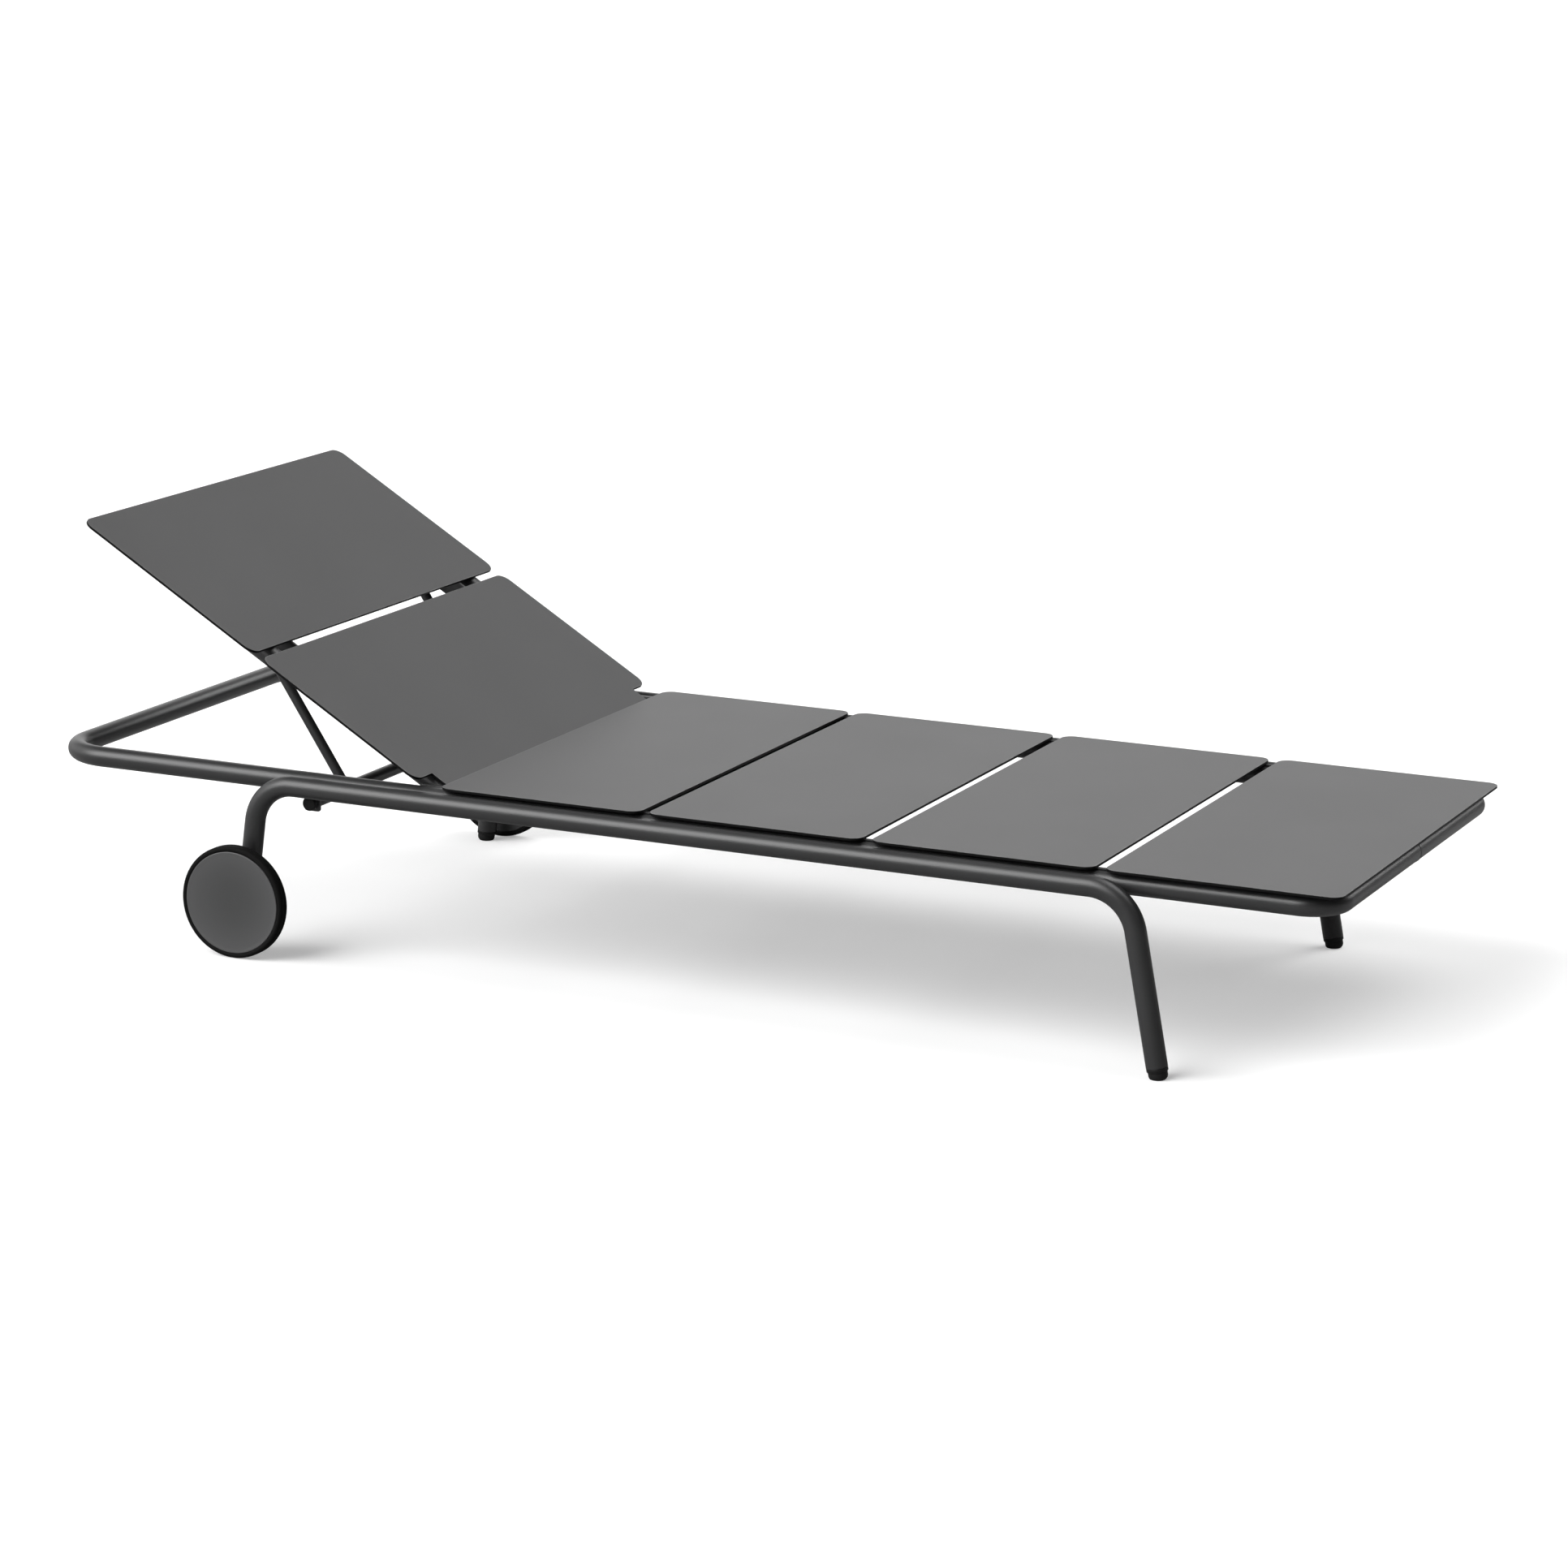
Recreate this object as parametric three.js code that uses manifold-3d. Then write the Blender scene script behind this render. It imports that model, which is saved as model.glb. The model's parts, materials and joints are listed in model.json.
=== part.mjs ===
// Reclining sun lounger on two wheels: a bent-tube frame under flat sheet panels.
//
// Units are millimetres and +Z is up. The origin is on the ground under the middle of the
// lounger. +X points to the foot end and +Y to the left of a person lying on it.

import * as THREE from 'three';
import { mergeVertices } from 'three/addons/utils/BufferGeometryUtils.js';
import Module from 'manifold-3d';

const wasm = await Module();
wasm.setup();

const DEG = Math.PI / 180;

// ---------------------------------------------------------------- driving dimensions

const GAP = 0.3; // clearance left between pieces that touch
const FOOT_END_X = 997; // foot edge of the last seat panel
const TUBE_RADIUS = 15;
const TUBE_WALL = 2;
const SHEET = 4; // panel thickness
const SHEET_TOP = 275.6;
const PANEL_HALF_WIDTH = 370;
const PANEL_CORNER = 18;

// seat panels, each from its foot edge to its head edge, measured back from the foot end
const SEAT_PANELS = [[0, 331], [346, 670], [684.5, 1006.5], [1018.5, 1333]];

// main loop under the panels
const RAIL_Y = 346.9;
const RAIL_Z = 254.2;
const LOOP_FOOT_X = FOOT_END_X - 18.5;
const LOOP_HEAD_X = FOOT_END_X - 1978.7;
const LOOP_HEAD_BEND = 76;
const LOOP_FOOT_BEND = 48;
const LOOP_SEAM = 0.4; // open butt joint where the two ends of the loop tube meet

// inverted-U leg tubes beside the loop
const LEG_Y = 377.2;
const LEG_RAIL_Z = 253;
const FRONT_FOOT_X = FOOT_END_X - 239.6;
const FRONT_LEAN = 11.3 * DEG;
const FRONT_BEND = 69;
const REAR_FOOT_X = FOOT_END_X - 1651.2;
const REAR_LEAN = 7 * DEG;
const REAR_BEND = 64;
const CAP_HEIGHT = 16;

// cross tubes between the side rails
const CROSS_RADIUS = 12.5;
const CROSS_Z = 250;
const CROSS_TUBES = { foot: 510, middle: 1040, hinge: 1300 };

// back rest, turned about its hinge pins
const HINGE_X = FOOT_END_X - 1359.2;
const HINGE_Z = SHEET_TOP - 20;
const REST_RECLINE = 30.68 * DEG;
const TAB_END = -12; // distances along the back are counted from the hinge to the head
const NOTCH_END = 21;
const TAB_HALF_WIDTH = 324;
const LOWER_BACK_END = 315.1;
const HEAD_PANEL_START = 328.6;
const HEAD_PANEL_END = 657.2;
const BACK_TUBE_Y = 306;
const BACK_TUBE_END = 470;
const BACK_CROSS = { lower: 50, upper: 205 };
const BACK_CROSS_RADIUS = 11;

// prop that holds the back rest up
const PROP_X = FOOT_END_X - 1554.5;
const PROP_Z = 222.6;
const PROP_REST = 56.13 * DEG;
const PROP_LENGTH = 284;
const PROP_BAR_RADIUS = 9.5;
const PROP_BAR_HALF = 346;
const STRUT_RADIUS = 7.5;
const STRUT_Y = 239;
const ROD_RADIUS = 5;
const ROD_HALF = 252;
const ROD_DEPTH = 26; // middle of the rod below the face of the back rest

// racks under the back rest, one notch for each recline angle
const RACK_Y = 257;
const RACK_THICKNESS = 4;
const RACK_DEPTH = 33;
const RACK_START = 262;
const RACK_END = 496;
const NOTCH_ANGLES = [60, 51, 42, 30.68, 20, 8];

// wheels outside the rear legs
const WHEEL_RADIUS = 82.5;
const DISC_RADIUS = 74.8;
const WHEEL_INNER_Y = 404;
const WHEEL_OUTER_Y = 424;
const AXLE_RADIUS = 6;
const WHEEL_X = REAR_FOOT_X + WHEEL_RADIUS * Math.tan(REAR_LEAN);

const ROUND_SIDES = 16;
const WHEEL_SIDES = 32;
const BEND_STEPS = 5;

// ---------------------------------------------------------------- materials

function finish(color, roughness, metalness) {
  return () => new THREE.MeshStandardMaterial({ color, roughness, metalness });
}

const tubeCoat = finish(0x3a3a3c, 0.5, 0.3);
const panelCoat = finish(0x5c5c5e, 0.55, 0.3);
const discCoat = finish(0x56565a, 0.5, 0.3);
const steel = finish(0x8f9195, 0.35, 0.9);
const blackPlastic = finish(0x141415, 0.6, 0.0);
const tyreRubber = finish(0x101010, 0.8, 0.0);
const nylon = finish(0x2a2a2c, 0.5, 0.0);

// ---------------------------------------------------------------- solids

function manifold(geometry) {
  const bare = geometry.clone();
  bare.deleteAttribute('normal');
  bare.deleteAttribute('uv');
  const merged = mergeVertices(bare, 1e-4);
  return new wasm.Manifold(new wasm.Mesh({
    numProp: 3,
    vertProperties: new Float32Array(merged.attributes.position.array),
    triVerts: new Uint32Array(merged.index.array),
  }));
}

function subtract(geometry, ...cutters) {
  let result = manifold(geometry);
  for (const cutter of cutters) {
    result = result.subtract(manifold(cutter));
  }
  const mesh = result.getMesh();
  const cut = new THREE.BufferGeometry();
  cut.setAttribute('position', new THREE.BufferAttribute(new Float32Array(mesh.vertProperties), 3));
  cut.setIndex(new THREE.BufferAttribute(new Uint32Array(mesh.triVerts), 1));
  return cut;
}

// A curve through bends and straights that is sampled only where its rings are needed.
class BentPath extends THREE.Curve {
  constructor(stations) {
    super();
    this.stations = stations;
  }

  getPoint(t, target = new THREE.Vector3()) {
    const place = t * (this.stations.length - 1);
    const index = Math.min(Math.floor(place), this.stations.length - 2);
    const [from, to] = [this.stations[index], this.stations[index + 1]];
    return target.copy(from.point).lerp(to.point, place - index);
  }

  getPointAt(t, target) {
    return this.getPoint(t, target);
  }

  getTangentAt(t, target = new THREE.Vector3()) {
    const index = Math.round(t * (this.stations.length - 1));
    return target.copy(this.stations[index].tangent);
  }
}

// Stations of a path that runs from corner to corner and is rounded at each inner corner.
function roundedStations(corners, radii) {
  const direction = (a, b) => b.clone().sub(a).normalize();
  const stations = [{ point: corners[0], tangent: direction(corners[0], corners[1]) }];
  for (let i = 1; i < corners.length - 1; i += 1) {
    const into = direction(corners[i - 1], corners[i]);
    const out = direction(corners[i], corners[i + 1]);
    const turn = into.angleTo(out);
    const start = corners[i].clone().addScaledVector(into, -radii[i - 1] * Math.tan(turn / 2));
    const inward = out.clone().addScaledVector(into, -into.dot(out)).normalize();
    const centre = start.clone().addScaledVector(inward, radii[i - 1]);
    for (let step = 0; step <= BEND_STEPS; step += 1) {
      const angle = turn * step / BEND_STEPS;
      const tangent = into.clone().multiplyScalar(Math.cos(angle));
      tangent.addScaledVector(inward, Math.sin(angle));
      const point = centre.clone().addScaledVector(inward, -radii[i - 1] * Math.cos(angle));
      point.addScaledVector(into, radii[i - 1] * Math.sin(angle));
      stations.push({ point, tangent });
    }
  }
  const last = corners.length - 1;
  stations.push({ point: corners[last], tangent: direction(corners[last - 1], corners[last]) });
  return stations;
}

function tubeAlong(corners, radii, outer, wall) {
  const section = new THREE.Shape();
  section.absarc(0, 0, outer, 0, 2 * Math.PI);
  const bore = new THREE.Path();
  bore.absarc(0, 0, outer - wall, 0, 2 * Math.PI, true);
  section.holes.push(bore);
  const stations = roundedStations(corners, radii);
  return new THREE.ExtrudeGeometry(section, {
    steps: stations.length - 1,
    extrudePath: new BentPath(stations),
    curveSegments: ROUND_SIDES / 2,
    bevelEnabled: false,
  });
}

// A round bar or tube across the lounger, from one y to another.
function crosswiseBar(radius, yFrom, yTo, sides = ROUND_SIDES) {
  return turned([[0, yFrom], [radius, yFrom], [radius, yTo], [0, yTo]], 1, sides);
}

function crosswiseTube(radius, wall, half) {
  const inner = radius - wall;
  const profile = [[inner, -half], [radius, -half], [radius, half], [inner, half], [inner, -half]];
  return turned(profile, 1, ROUND_SIDES);
}

// A body of revolution about a crosswise axis. The profile is [radius, distance outwards],
// anticlockwise, and side is 1 for the left of the lounger and -1 for the right.
function turned(profile, side, sides = ROUND_SIDES) {
  const points = profile.map(([radius, y]) => new THREE.Vector2(radius, side * y));
  if (side < 0) {
    points.reverse();
  }
  return new THREE.LatheGeometry(points, sides);
}

function roundedOutline(corners) {
  const shape = new THREE.Shape();
  const count = corners.length;
  for (let i = 0; i < count; i += 1) {
    const [x, y, radius] = corners[i];
    const before = corners[(i + count - 1) % count];
    const after = corners[(i + 1) % count];
    const into = new THREE.Vector2(x - before[0], y - before[1]).normalize();
    const out = new THREE.Vector2(after[0] - x, after[1] - y).normalize();
    const start = [x - into.x * radius, y - into.y * radius];
    const end = [x + out.x * radius, y + out.y * radius];
    if (i === 0) {
      shape.moveTo(...start);
    } else {
      shape.lineTo(...start);
    }
    if (radius > 0) {
      shape.quadraticCurveTo(x, y, ...end);
    }
  }
  shape.closePath();
  return shape;
}

function flatPlate(shape, zLow, thickness) {
  const plate = new THREE.ExtrudeGeometry(shape, {
    depth: thickness,
    curveSegments: 5,
    bevelEnabled: false,
  });
  return plate.translate(0, 0, zLow);
}

// A plate that stands upright along the lounger. Its outline is drawn in x and z.
function uprightPlate(shape, yMiddle, thickness) {
  const plate = new THREE.ExtrudeGeometry(shape, {
    depth: thickness,
    curveSegments: 6,
    bevelEnabled: false,
  });
  return plate.rotateX(Math.PI / 2).translate(0, yMiddle + thickness / 2, 0);
}

function piece(name, geometry, material, parent) {
  const mesh = new THREE.Mesh(geometry, material());
  mesh.name = name;
  parent.add(mesh);
  return mesh;
}

const SIDES = [['left', 1], ['right', -1]];
const sunLounger = new THREE.Group();

// ---------------------------------------------------------------- main loop and cross tubes

function mainLoop() {
  const at = (x, y) => new THREE.Vector3(x, y, RAIL_Z);
  const corners = [
    at(LOOP_FOOT_X, LOOP_SEAM / 2),
    at(LOOP_FOOT_X, RAIL_Y),
    at(LOOP_HEAD_X, RAIL_Y),
    at(LOOP_HEAD_X, -RAIL_Y),
    at(LOOP_FOOT_X, -RAIL_Y),
    at(LOOP_FOOT_X, -LOOP_SEAM / 2),
  ];
  const bends = [LOOP_FOOT_BEND, LOOP_HEAD_BEND, LOOP_HEAD_BEND, LOOP_FOOT_BEND];
  piece('main_loop_tube', tubeAlong(corners, bends, TUBE_RADIUS, TUBE_WALL), tubeCoat, sunLounger);
}

// The ends are coped to lie round the side rails.
function crossTubes() {
  const railLength = LOOP_FOOT_X - LOOP_HEAD_X;
  const rail = (side) => {
    const cutter = new THREE.CylinderGeometry(
      TUBE_RADIUS + GAP, TUBE_RADIUS + GAP, railLength, ROUND_SIDES);
    cutter.rotateZ(Math.PI / 2);
    return cutter.translate((LOOP_FOOT_X + LOOP_HEAD_X) / 2, side * RAIL_Y, RAIL_Z);
  };
  for (const [place, distance] of Object.entries(CROSS_TUBES)) {
    const tube = crosswiseTube(CROSS_RADIUS, TUBE_WALL, RAIL_Y - TUBE_RADIUS + 3);
    tube.translate(FOOT_END_X - distance, 0, CROSS_Z);
    piece(`seat_cross_tube_${place}`, subtract(tube, rail(1), rail(-1)), tubeCoat, sunLounger);
  }
}

// ---------------------------------------------------------------- legs, feet and wheels

function legTube(name, side) {
  const y = side * LEG_Y;
  const along = (footX, lean, rise) => new THREE.Vector3(footX + rise * Math.tan(lean), y, rise);
  const front = -FRONT_LEAN;
  const rear = REAR_LEAN;
  const corners = [
    along(FRONT_FOOT_X, front, CAP_HEIGHT),
    along(FRONT_FOOT_X, front, LEG_RAIL_Z),
    along(REAR_FOOT_X, rear, LEG_RAIL_Z),
    along(REAR_FOOT_X, rear, CAP_HEIGHT),
  ];
  const tube = tubeAlong(corners, [FRONT_BEND, REAR_BEND], TUBE_RADIUS, TUBE_WALL);
  const axleHole = crosswiseBar(AXLE_RADIUS + 0.5, -30, 30);
  axleHole.translate(WHEEL_X, y, WHEEL_RADIUS);
  piece(`leg_tube_${name}`, subtract(tube, axleHole), tubeCoat, sunLounger);
}

// A plastic plug with a collar and a domed foot, cut flat where it stands on the ground.
function footCap(name, footX, lean, side) {
  const spigot = TUBE_RADIUS - TUBE_WALL - 0.4;
  const drop = CAP_HEIGHT / Math.cos(lean);
  const profile = [
    [0, -drop - 2], [7, -drop - 1.2], [11, -drop + 1.6], [13.2, -drop + 5], [13.2, -6.2],
    [14.8, -5.6], [14.8, -GAP], [spigot, -GAP], [spigot, 12], [0, 12],
  ];
  const cap = turned(profile, 1, 12);
  cap.rotateX(Math.PI / 2);
  cap.rotateY(lean);
  cap.translate(footX + CAP_HEIGHT * Math.tan(lean), side * LEG_Y, CAP_HEIGHT);
  const ground = new THREE.BoxGeometry(80, 80, 20);
  ground.translate(footX, side * LEG_Y, -10);
  piece(name, subtract(cap, ground), blackPlastic, sunLounger);
}

// The axle bolt passes through the leg, with its head on the inner side.
function axle(name, side) {
  const legOuter = LEG_Y + TUBE_RADIUS;
  const legInner = LEG_Y - TUBE_RADIUS;
  const hubEnd = WHEEL_OUTER_Y - 9.5;
  const bolt = [
    [0, legInner - 6], [9, legInner - 6], [9, legInner - GAP], [AXLE_RADIUS, legInner - GAP],
    [AXLE_RADIUS, WHEEL_OUTER_Y - 3.4], [0, WHEEL_OUTER_Y - 3.4],
  ];
  const spacer = [
    [AXLE_RADIUS + GAP, legOuter + GAP], [11, legOuter + GAP], [11, WHEEL_INNER_Y - 6.5],
    [AXLE_RADIUS + GAP, WHEEL_INNER_Y - 6.5], [AXLE_RADIUS + GAP, legOuter + GAP],
  ];
  const nutBlank = turned([
    [0, hubEnd + GAP], [10, hubEnd + GAP], [10, hubEnd + 5], [0, hubEnd + 5],
  ], side, 6);
  const thread = crosswiseBar(AXLE_RADIUS + GAP, side * hubEnd - 20, side * hubEnd + 20);
  const place = (mesh) => mesh.position.set(WHEEL_X, 0, WHEEL_RADIUS);
  place(piece(`axle_bolt_${name}`, turned(bolt, side), steel, sunLounger));
  place(piece(`axle_spacer_${name}`, turned(spacer, side), nylon, sunLounger));
  place(piece(`axle_nut_${name}`, subtract(nutBlank, thread), steel, sunLounger));
}

function wheel(name, side) {
  const group = new THREE.Group();
  group.position.set(WHEEL_X, 0, WHEEL_RADIUS);
  sunLounger.add(group);
  const inner = WHEEL_INNER_Y;
  const outer = WHEEL_OUTER_Y;
  const rimInner = DISC_RADIUS - 2;
  const tyre = [
    [rimInner, inner + 3], [DISC_RADIUS + GAP, inner + 3], [DISC_RADIUS + GAP, inner],
    [79.5, inner], [WHEEL_RADIUS, inner + 4], [WHEEL_RADIUS, outer - 4],
    [79.5, outer], [DISC_RADIUS + GAP, outer],
    [DISC_RADIUS + GAP, outer - 3], [rimInner, outer - 3], [rimInner, inner + 3],
  ];
  const hubRadius = 10;
  const innerDisc = [
    [hubRadius, inner - 5], [14, inner - 5], [14, inner], [DISC_RADIUS, inner],
    [DISC_RADIUS, inner + 2.5], [14, inner + 2.5], [14, outer - 9.5],
    [hubRadius, outer - 9.5], [hubRadius, inner - 5],
  ];
  const outerDisc = [
    [0, outer - 3], [58, outer - 3], [66, outer - 2.5], [DISC_RADIUS, outer - 2.5],
    [DISC_RADIUS, outer], [66, outer], [58, outer - 0.5], [0, outer - 0.5],
  ];
  const bush = [
    [AXLE_RADIUS + GAP, inner - 6], [14, inner - 6], [14, inner - 5 - GAP],
    [hubRadius - GAP, inner - 5 - GAP], [hubRadius - GAP, outer - 9.8],
    [AXLE_RADIUS + GAP, outer - 9.8], [AXLE_RADIUS + GAP, inner - 6],
  ];
  piece(`tyre_${name}`, turned(tyre, side, WHEEL_SIDES), tyreRubber, group);
  piece(`wheel_disc_inner_${name}`, turned(innerDisc, side, WHEEL_SIDES), discCoat, group);
  piece(`wheel_disc_outer_${name}`, turned(outerDisc, side, WHEEL_SIDES), discCoat, group);
  piece(`wheel_bush_${name}`, turned(bush, side), nylon, group);
}

// ---------------------------------------------------------------- seat

function seatPanels() {
  SEAT_PANELS.forEach(([from, to], index) => {
    const [foot, head] = [FOOT_END_X - from, FOOT_END_X - to];
    const outline = roundedOutline([
      [head, -PANEL_HALF_WIDTH, PANEL_CORNER],
      [foot, -PANEL_HALF_WIDTH, PANEL_CORNER],
      [foot, PANEL_HALF_WIDTH, PANEL_CORNER],
      [head, PANEL_HALF_WIDTH, PANEL_CORNER],
    ]);
    const sheet = flatPlate(outline, SHEET_TOP - SHEET, SHEET);
    piece(`seat_panel_${index + 1}`, sheet, panelCoat, sunLounger);
  });
}

// Narrow strips lift the panels just clear of the rails.
function railStrip(name, side) {
  const from = FOOT_END_X - 50;
  const to = FOOT_END_X - SEAT_PANELS[3][1] + 12;
  const low = RAIL_Z + TUBE_RADIUS + GAP;
  const strip = new THREE.BoxGeometry(from - to, 8, SHEET_TOP - SHEET - GAP - low);
  strip.translate((from + to) / 2, side * RAIL_Y, (SHEET_TOP - SHEET - GAP + low) / 2);
  piece(`rail_strip_${name}`, strip, nylon, sunLounger);
}

// ---------------------------------------------------------------- back rest

// Inside the back group x runs along the slope, z is square to it, and the hinge is the origin.
const SHEET_LOW = SHEET_TOP - SHEET - HINGE_Z;
const BACK_TUBE_Z = SHEET_LOW - GAP - TUBE_RADIUS;

function hinge(name, side) {
  const plate = 5;
  const plateMiddle = RAIL_Y - TUBE_RADIUS - 0.4 - plate / 2;
  const outline = roundedOutline([[-24, -15, 6], [24, -15, 6], [24, 12, 4], [-24, 12, 4]]);
  const hole = new THREE.Path();
  hole.absarc(0, 0, 5.4, 0, 2 * Math.PI, true);
  outline.holes.push(hole);
  const tubeInner = BACK_TUBE_Y - TUBE_RADIUS;
  const pinEnd = plateMiddle + plate / 2;
  const pin = [
    [0, tubeInner - 6], [6, tubeInner - 6], [8.5, tubeInner - 3.6], [8.5, tubeInner - GAP],
    [5, tubeInner - GAP], [5, pinEnd], [0, pinEnd],
  ];
  const place = (mesh) => mesh.position.set(HINGE_X, 0, HINGE_Z);
  place(piece(`hinge_bracket_${name}`, uprightPlate(outline, side * plateMiddle, plate),
    tubeCoat, sunLounger));
  place(piece(`hinge_pin_${name}`, turned(pin, side), steel, sunLounger));
}

function hingeWasher(name, side, back) {
  const low = BACK_TUBE_Y + TUBE_RADIUS + GAP;
  const high = RAIL_Y - TUBE_RADIUS - 5.4 - 2 * GAP;
  const ring = [[5.4, low], [11, low], [11, high], [5.4, high], [5.4, low]];
  piece(`hinge_washer_${name}`, turned(ring, side), nylon, back);
}

function backSideTube(name, side, back) {
  const y = side * BACK_TUBE_Y;
  const ends = [-12, BACK_TUBE_END - 6].map((s) => new THREE.Vector3(-s, y, BACK_TUBE_Z));
  const tube = tubeAlong(ends, [], TUBE_RADIUS, TUBE_WALL);
  const pinHole = crosswiseBar(5.5, -30, 30);
  pinHole.translate(0, y, 0);
  piece(`back_side_tube_${name}`, subtract(tube, pinHole), tubeCoat, back);
  const spigot = TUBE_RADIUS - TUBE_WALL - 0.4;
  const plug = turned([
    [0, -12], [spigot, -12], [spigot, GAP], [14.6, GAP], [14, 3], [10.5, 5.2], [0, 6],
  ], 1);
  plug.rotateZ(Math.PI / 2);
  plug.translate(-(BACK_TUBE_END - 6), y, BACK_TUBE_Z);
  piece(`back_tube_plug_${name}`, plug, blackPlastic, back);
}

function backCrossTubes(back) {
  for (const [place, s] of Object.entries(BACK_CROSS)) {
    const tube = crosswiseTube(BACK_CROSS_RADIUS, 1.5, BACK_TUBE_Y - TUBE_RADIUS + 4);
    tube.translate(-s, 0, BACK_TUBE_Z);
    const around = (side) => {
      const cutter = new THREE.CylinderGeometry(
        TUBE_RADIUS + GAP, TUBE_RADIUS + GAP, 60, ROUND_SIDES);
      return cutter.rotateZ(Math.PI / 2).translate(-s, side * BACK_TUBE_Y, BACK_TUBE_Z);
    };
    piece(`back_cross_tube_${place}`, subtract(tube, around(1), around(-1)), tubeCoat, back);
  }
}

// The tab of the lower panel dips between the side rails, so its corners are notched.
function backPanels(back) {
  const wide = PANEL_HALF_WIDTH;
  const tab = TAB_HALF_WIDTH;
  const round = PANEL_CORNER;
  const lower = roundedOutline([
    [-LOWER_BACK_END, -wide, round], [-NOTCH_END, -wide, round], [-NOTCH_END, -tab, 0],
    [-TAB_END, -tab, 3], [-TAB_END, tab, 3], [-NOTCH_END, tab, 0],
    [-NOTCH_END, wide, round], [-LOWER_BACK_END, wide, round],
  ]);
  const head = roundedOutline([
    [-HEAD_PANEL_END, -wide, round], [-HEAD_PANEL_START, -wide, round],
    [-HEAD_PANEL_START, wide, round], [-HEAD_PANEL_END, wide, round],
  ]);
  piece('back_panel_lower', flatPlate(lower, SHEET_LOW, SHEET), panelCoat, back);
  piece('back_panel_head', flatPlate(head, SHEET_LOW, SHEET), panelCoat, back);
}

// Distance from the hinge at which the prop's rod meets the rack at a given recline.
function rodPlace(recline) {
  const behind = HINGE_X - PROP_X;
  const below = HINGE_Z - PROP_Z;
  const faceDepth = SHEET_TOP - HINGE_Z + behind * Math.sin(recline) + below * Math.cos(recline);
  const lift = Math.asin((faceDepth - ROD_DEPTH) / PROP_LENGTH);
  return behind * Math.cos(recline) - below * Math.sin(recline) + PROP_LENGTH * Math.cos(lift);
}

// A saw-toothed plate: each notch is a round seat with a ramp on its head side.
function rack(name, side, back) {
  const top = SHEET_LOW - GAP;
  const low = SHEET_TOP - HINGE_Z - RACK_DEPTH;
  const seat = SHEET_TOP - HINGE_Z - ROD_DEPTH;
  const seatRadius = ROD_RADIUS + 0.8;
  const outline = new THREE.Shape();
  outline.moveTo(-RACK_START, top);
  outline.lineTo(-RACK_END, top);
  outline.lineTo(-RACK_END, low + 8);
  outline.lineTo(-RACK_END + 6, low);
  for (const angle of [...NOTCH_ANGLES].reverse()) {
    const x = -rodPlace(angle * DEG);
    outline.lineTo(x - seatRadius - 5, low);
    outline.lineTo(x - seatRadius, seat);
    outline.absarc(x, seat, seatRadius, Math.PI, 0, true);
    outline.lineTo(x + seatRadius, low);
  }
  outline.lineTo(-RACK_START, low);
  outline.closePath();
  const plate = uprightPlate(outline, side * RACK_Y, RACK_THICKNESS);
  piece(`recline_rack_${name}`, plate, tubeCoat, back);
}

function backRest() {
  const back = new THREE.Group();
  back.position.set(HINGE_X, 0, HINGE_Z);
  back.rotation.y = REST_RECLINE;
  sunLounger.add(back);
  backPanels(back);
  backCrossTubes(back);
  for (const [name, side] of SIDES) {
    backSideTube(name, side, back);
    hingeWasher(name, side, back);
    rack(name, side, back);
  }
}

// ---------------------------------------------------------------- prop

// Inside the prop group the struts run along -x from the turning bar to the rod.
function prop() {
  const group = new THREE.Group();
  group.position.set(PROP_X, 0, PROP_Z);
  group.rotation.y = PROP_REST;
  sunLounger.add(group);
  const bar = crosswiseTube(PROP_BAR_RADIUS, TUBE_WALL, PROP_BAR_HALF);
  piece('prop_turning_bar', bar, tubeCoat, group);
  const rod = crosswiseBar(ROD_RADIUS, -ROD_HALF, ROD_HALF);
  piece('prop_rack_rod', rod.translate(-PROP_LENGTH, 0, 0), tubeCoat, group);
  for (const [name, side] of SIDES) {
    const y = side * STRUT_Y;
    const strut = new THREE.CylinderGeometry(
      STRUT_RADIUS, STRUT_RADIUS, PROP_LENGTH, ROUND_SIDES);
    strut.rotateZ(Math.PI / 2).translate(-PROP_LENGTH / 2, y, 0);
    const barCut = crosswiseBar(PROP_BAR_RADIUS + GAP, y - 20, y + 20, 24);
    const rodCut = crosswiseBar(ROD_RADIUS + GAP, y - 20, y + 20, 24);
    rodCut.translate(-PROP_LENGTH, 0, 0);
    piece(`prop_strut_${name}`, subtract(strut, barCut, rodCut), tubeCoat, group);
    const spigot = PROP_BAR_RADIUS - TUBE_WALL - 0.4;
    const end = PROP_BAR_HALF;
    const cap = [
      [0, end - 10], [spigot, end - 10], [spigot, end + GAP], [10.5, end + GAP],
      [10.5, end + 3], [8, end + 5], [0, end + 5.6],
    ];
    piece(`prop_bar_cap_${name}`, turned(cap, side), blackPlastic, group);
  }
}

// A hanger plate under each side rail carries the turning bar.
function propHanger(name, side) {
  const thickness = 4;
  const middle = RAIL_Y - 9;
  const railLow = RAIL_Z - TUBE_RADIUS - GAP - PROP_Z;
  const around = 12.5;
  const outline = roundedOutline([
    [-around, -around, 4], [around, -around, 4], [around, railLow, 0], [-around, railLow, 0],
  ]);
  const hole = new THREE.Path();
  hole.absarc(0, 0, PROP_BAR_RADIUS + 0.4, 0, 2 * Math.PI, true);
  outline.holes.push(hole);
  const plate = uprightPlate(outline, side * middle, thickness);
  const mesh = piece(`prop_hanger_${name}`, plate, tubeCoat, sunLounger);
  mesh.position.set(PROP_X, 0, PROP_Z);
}

// ---------------------------------------------------------------- assembly

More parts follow.
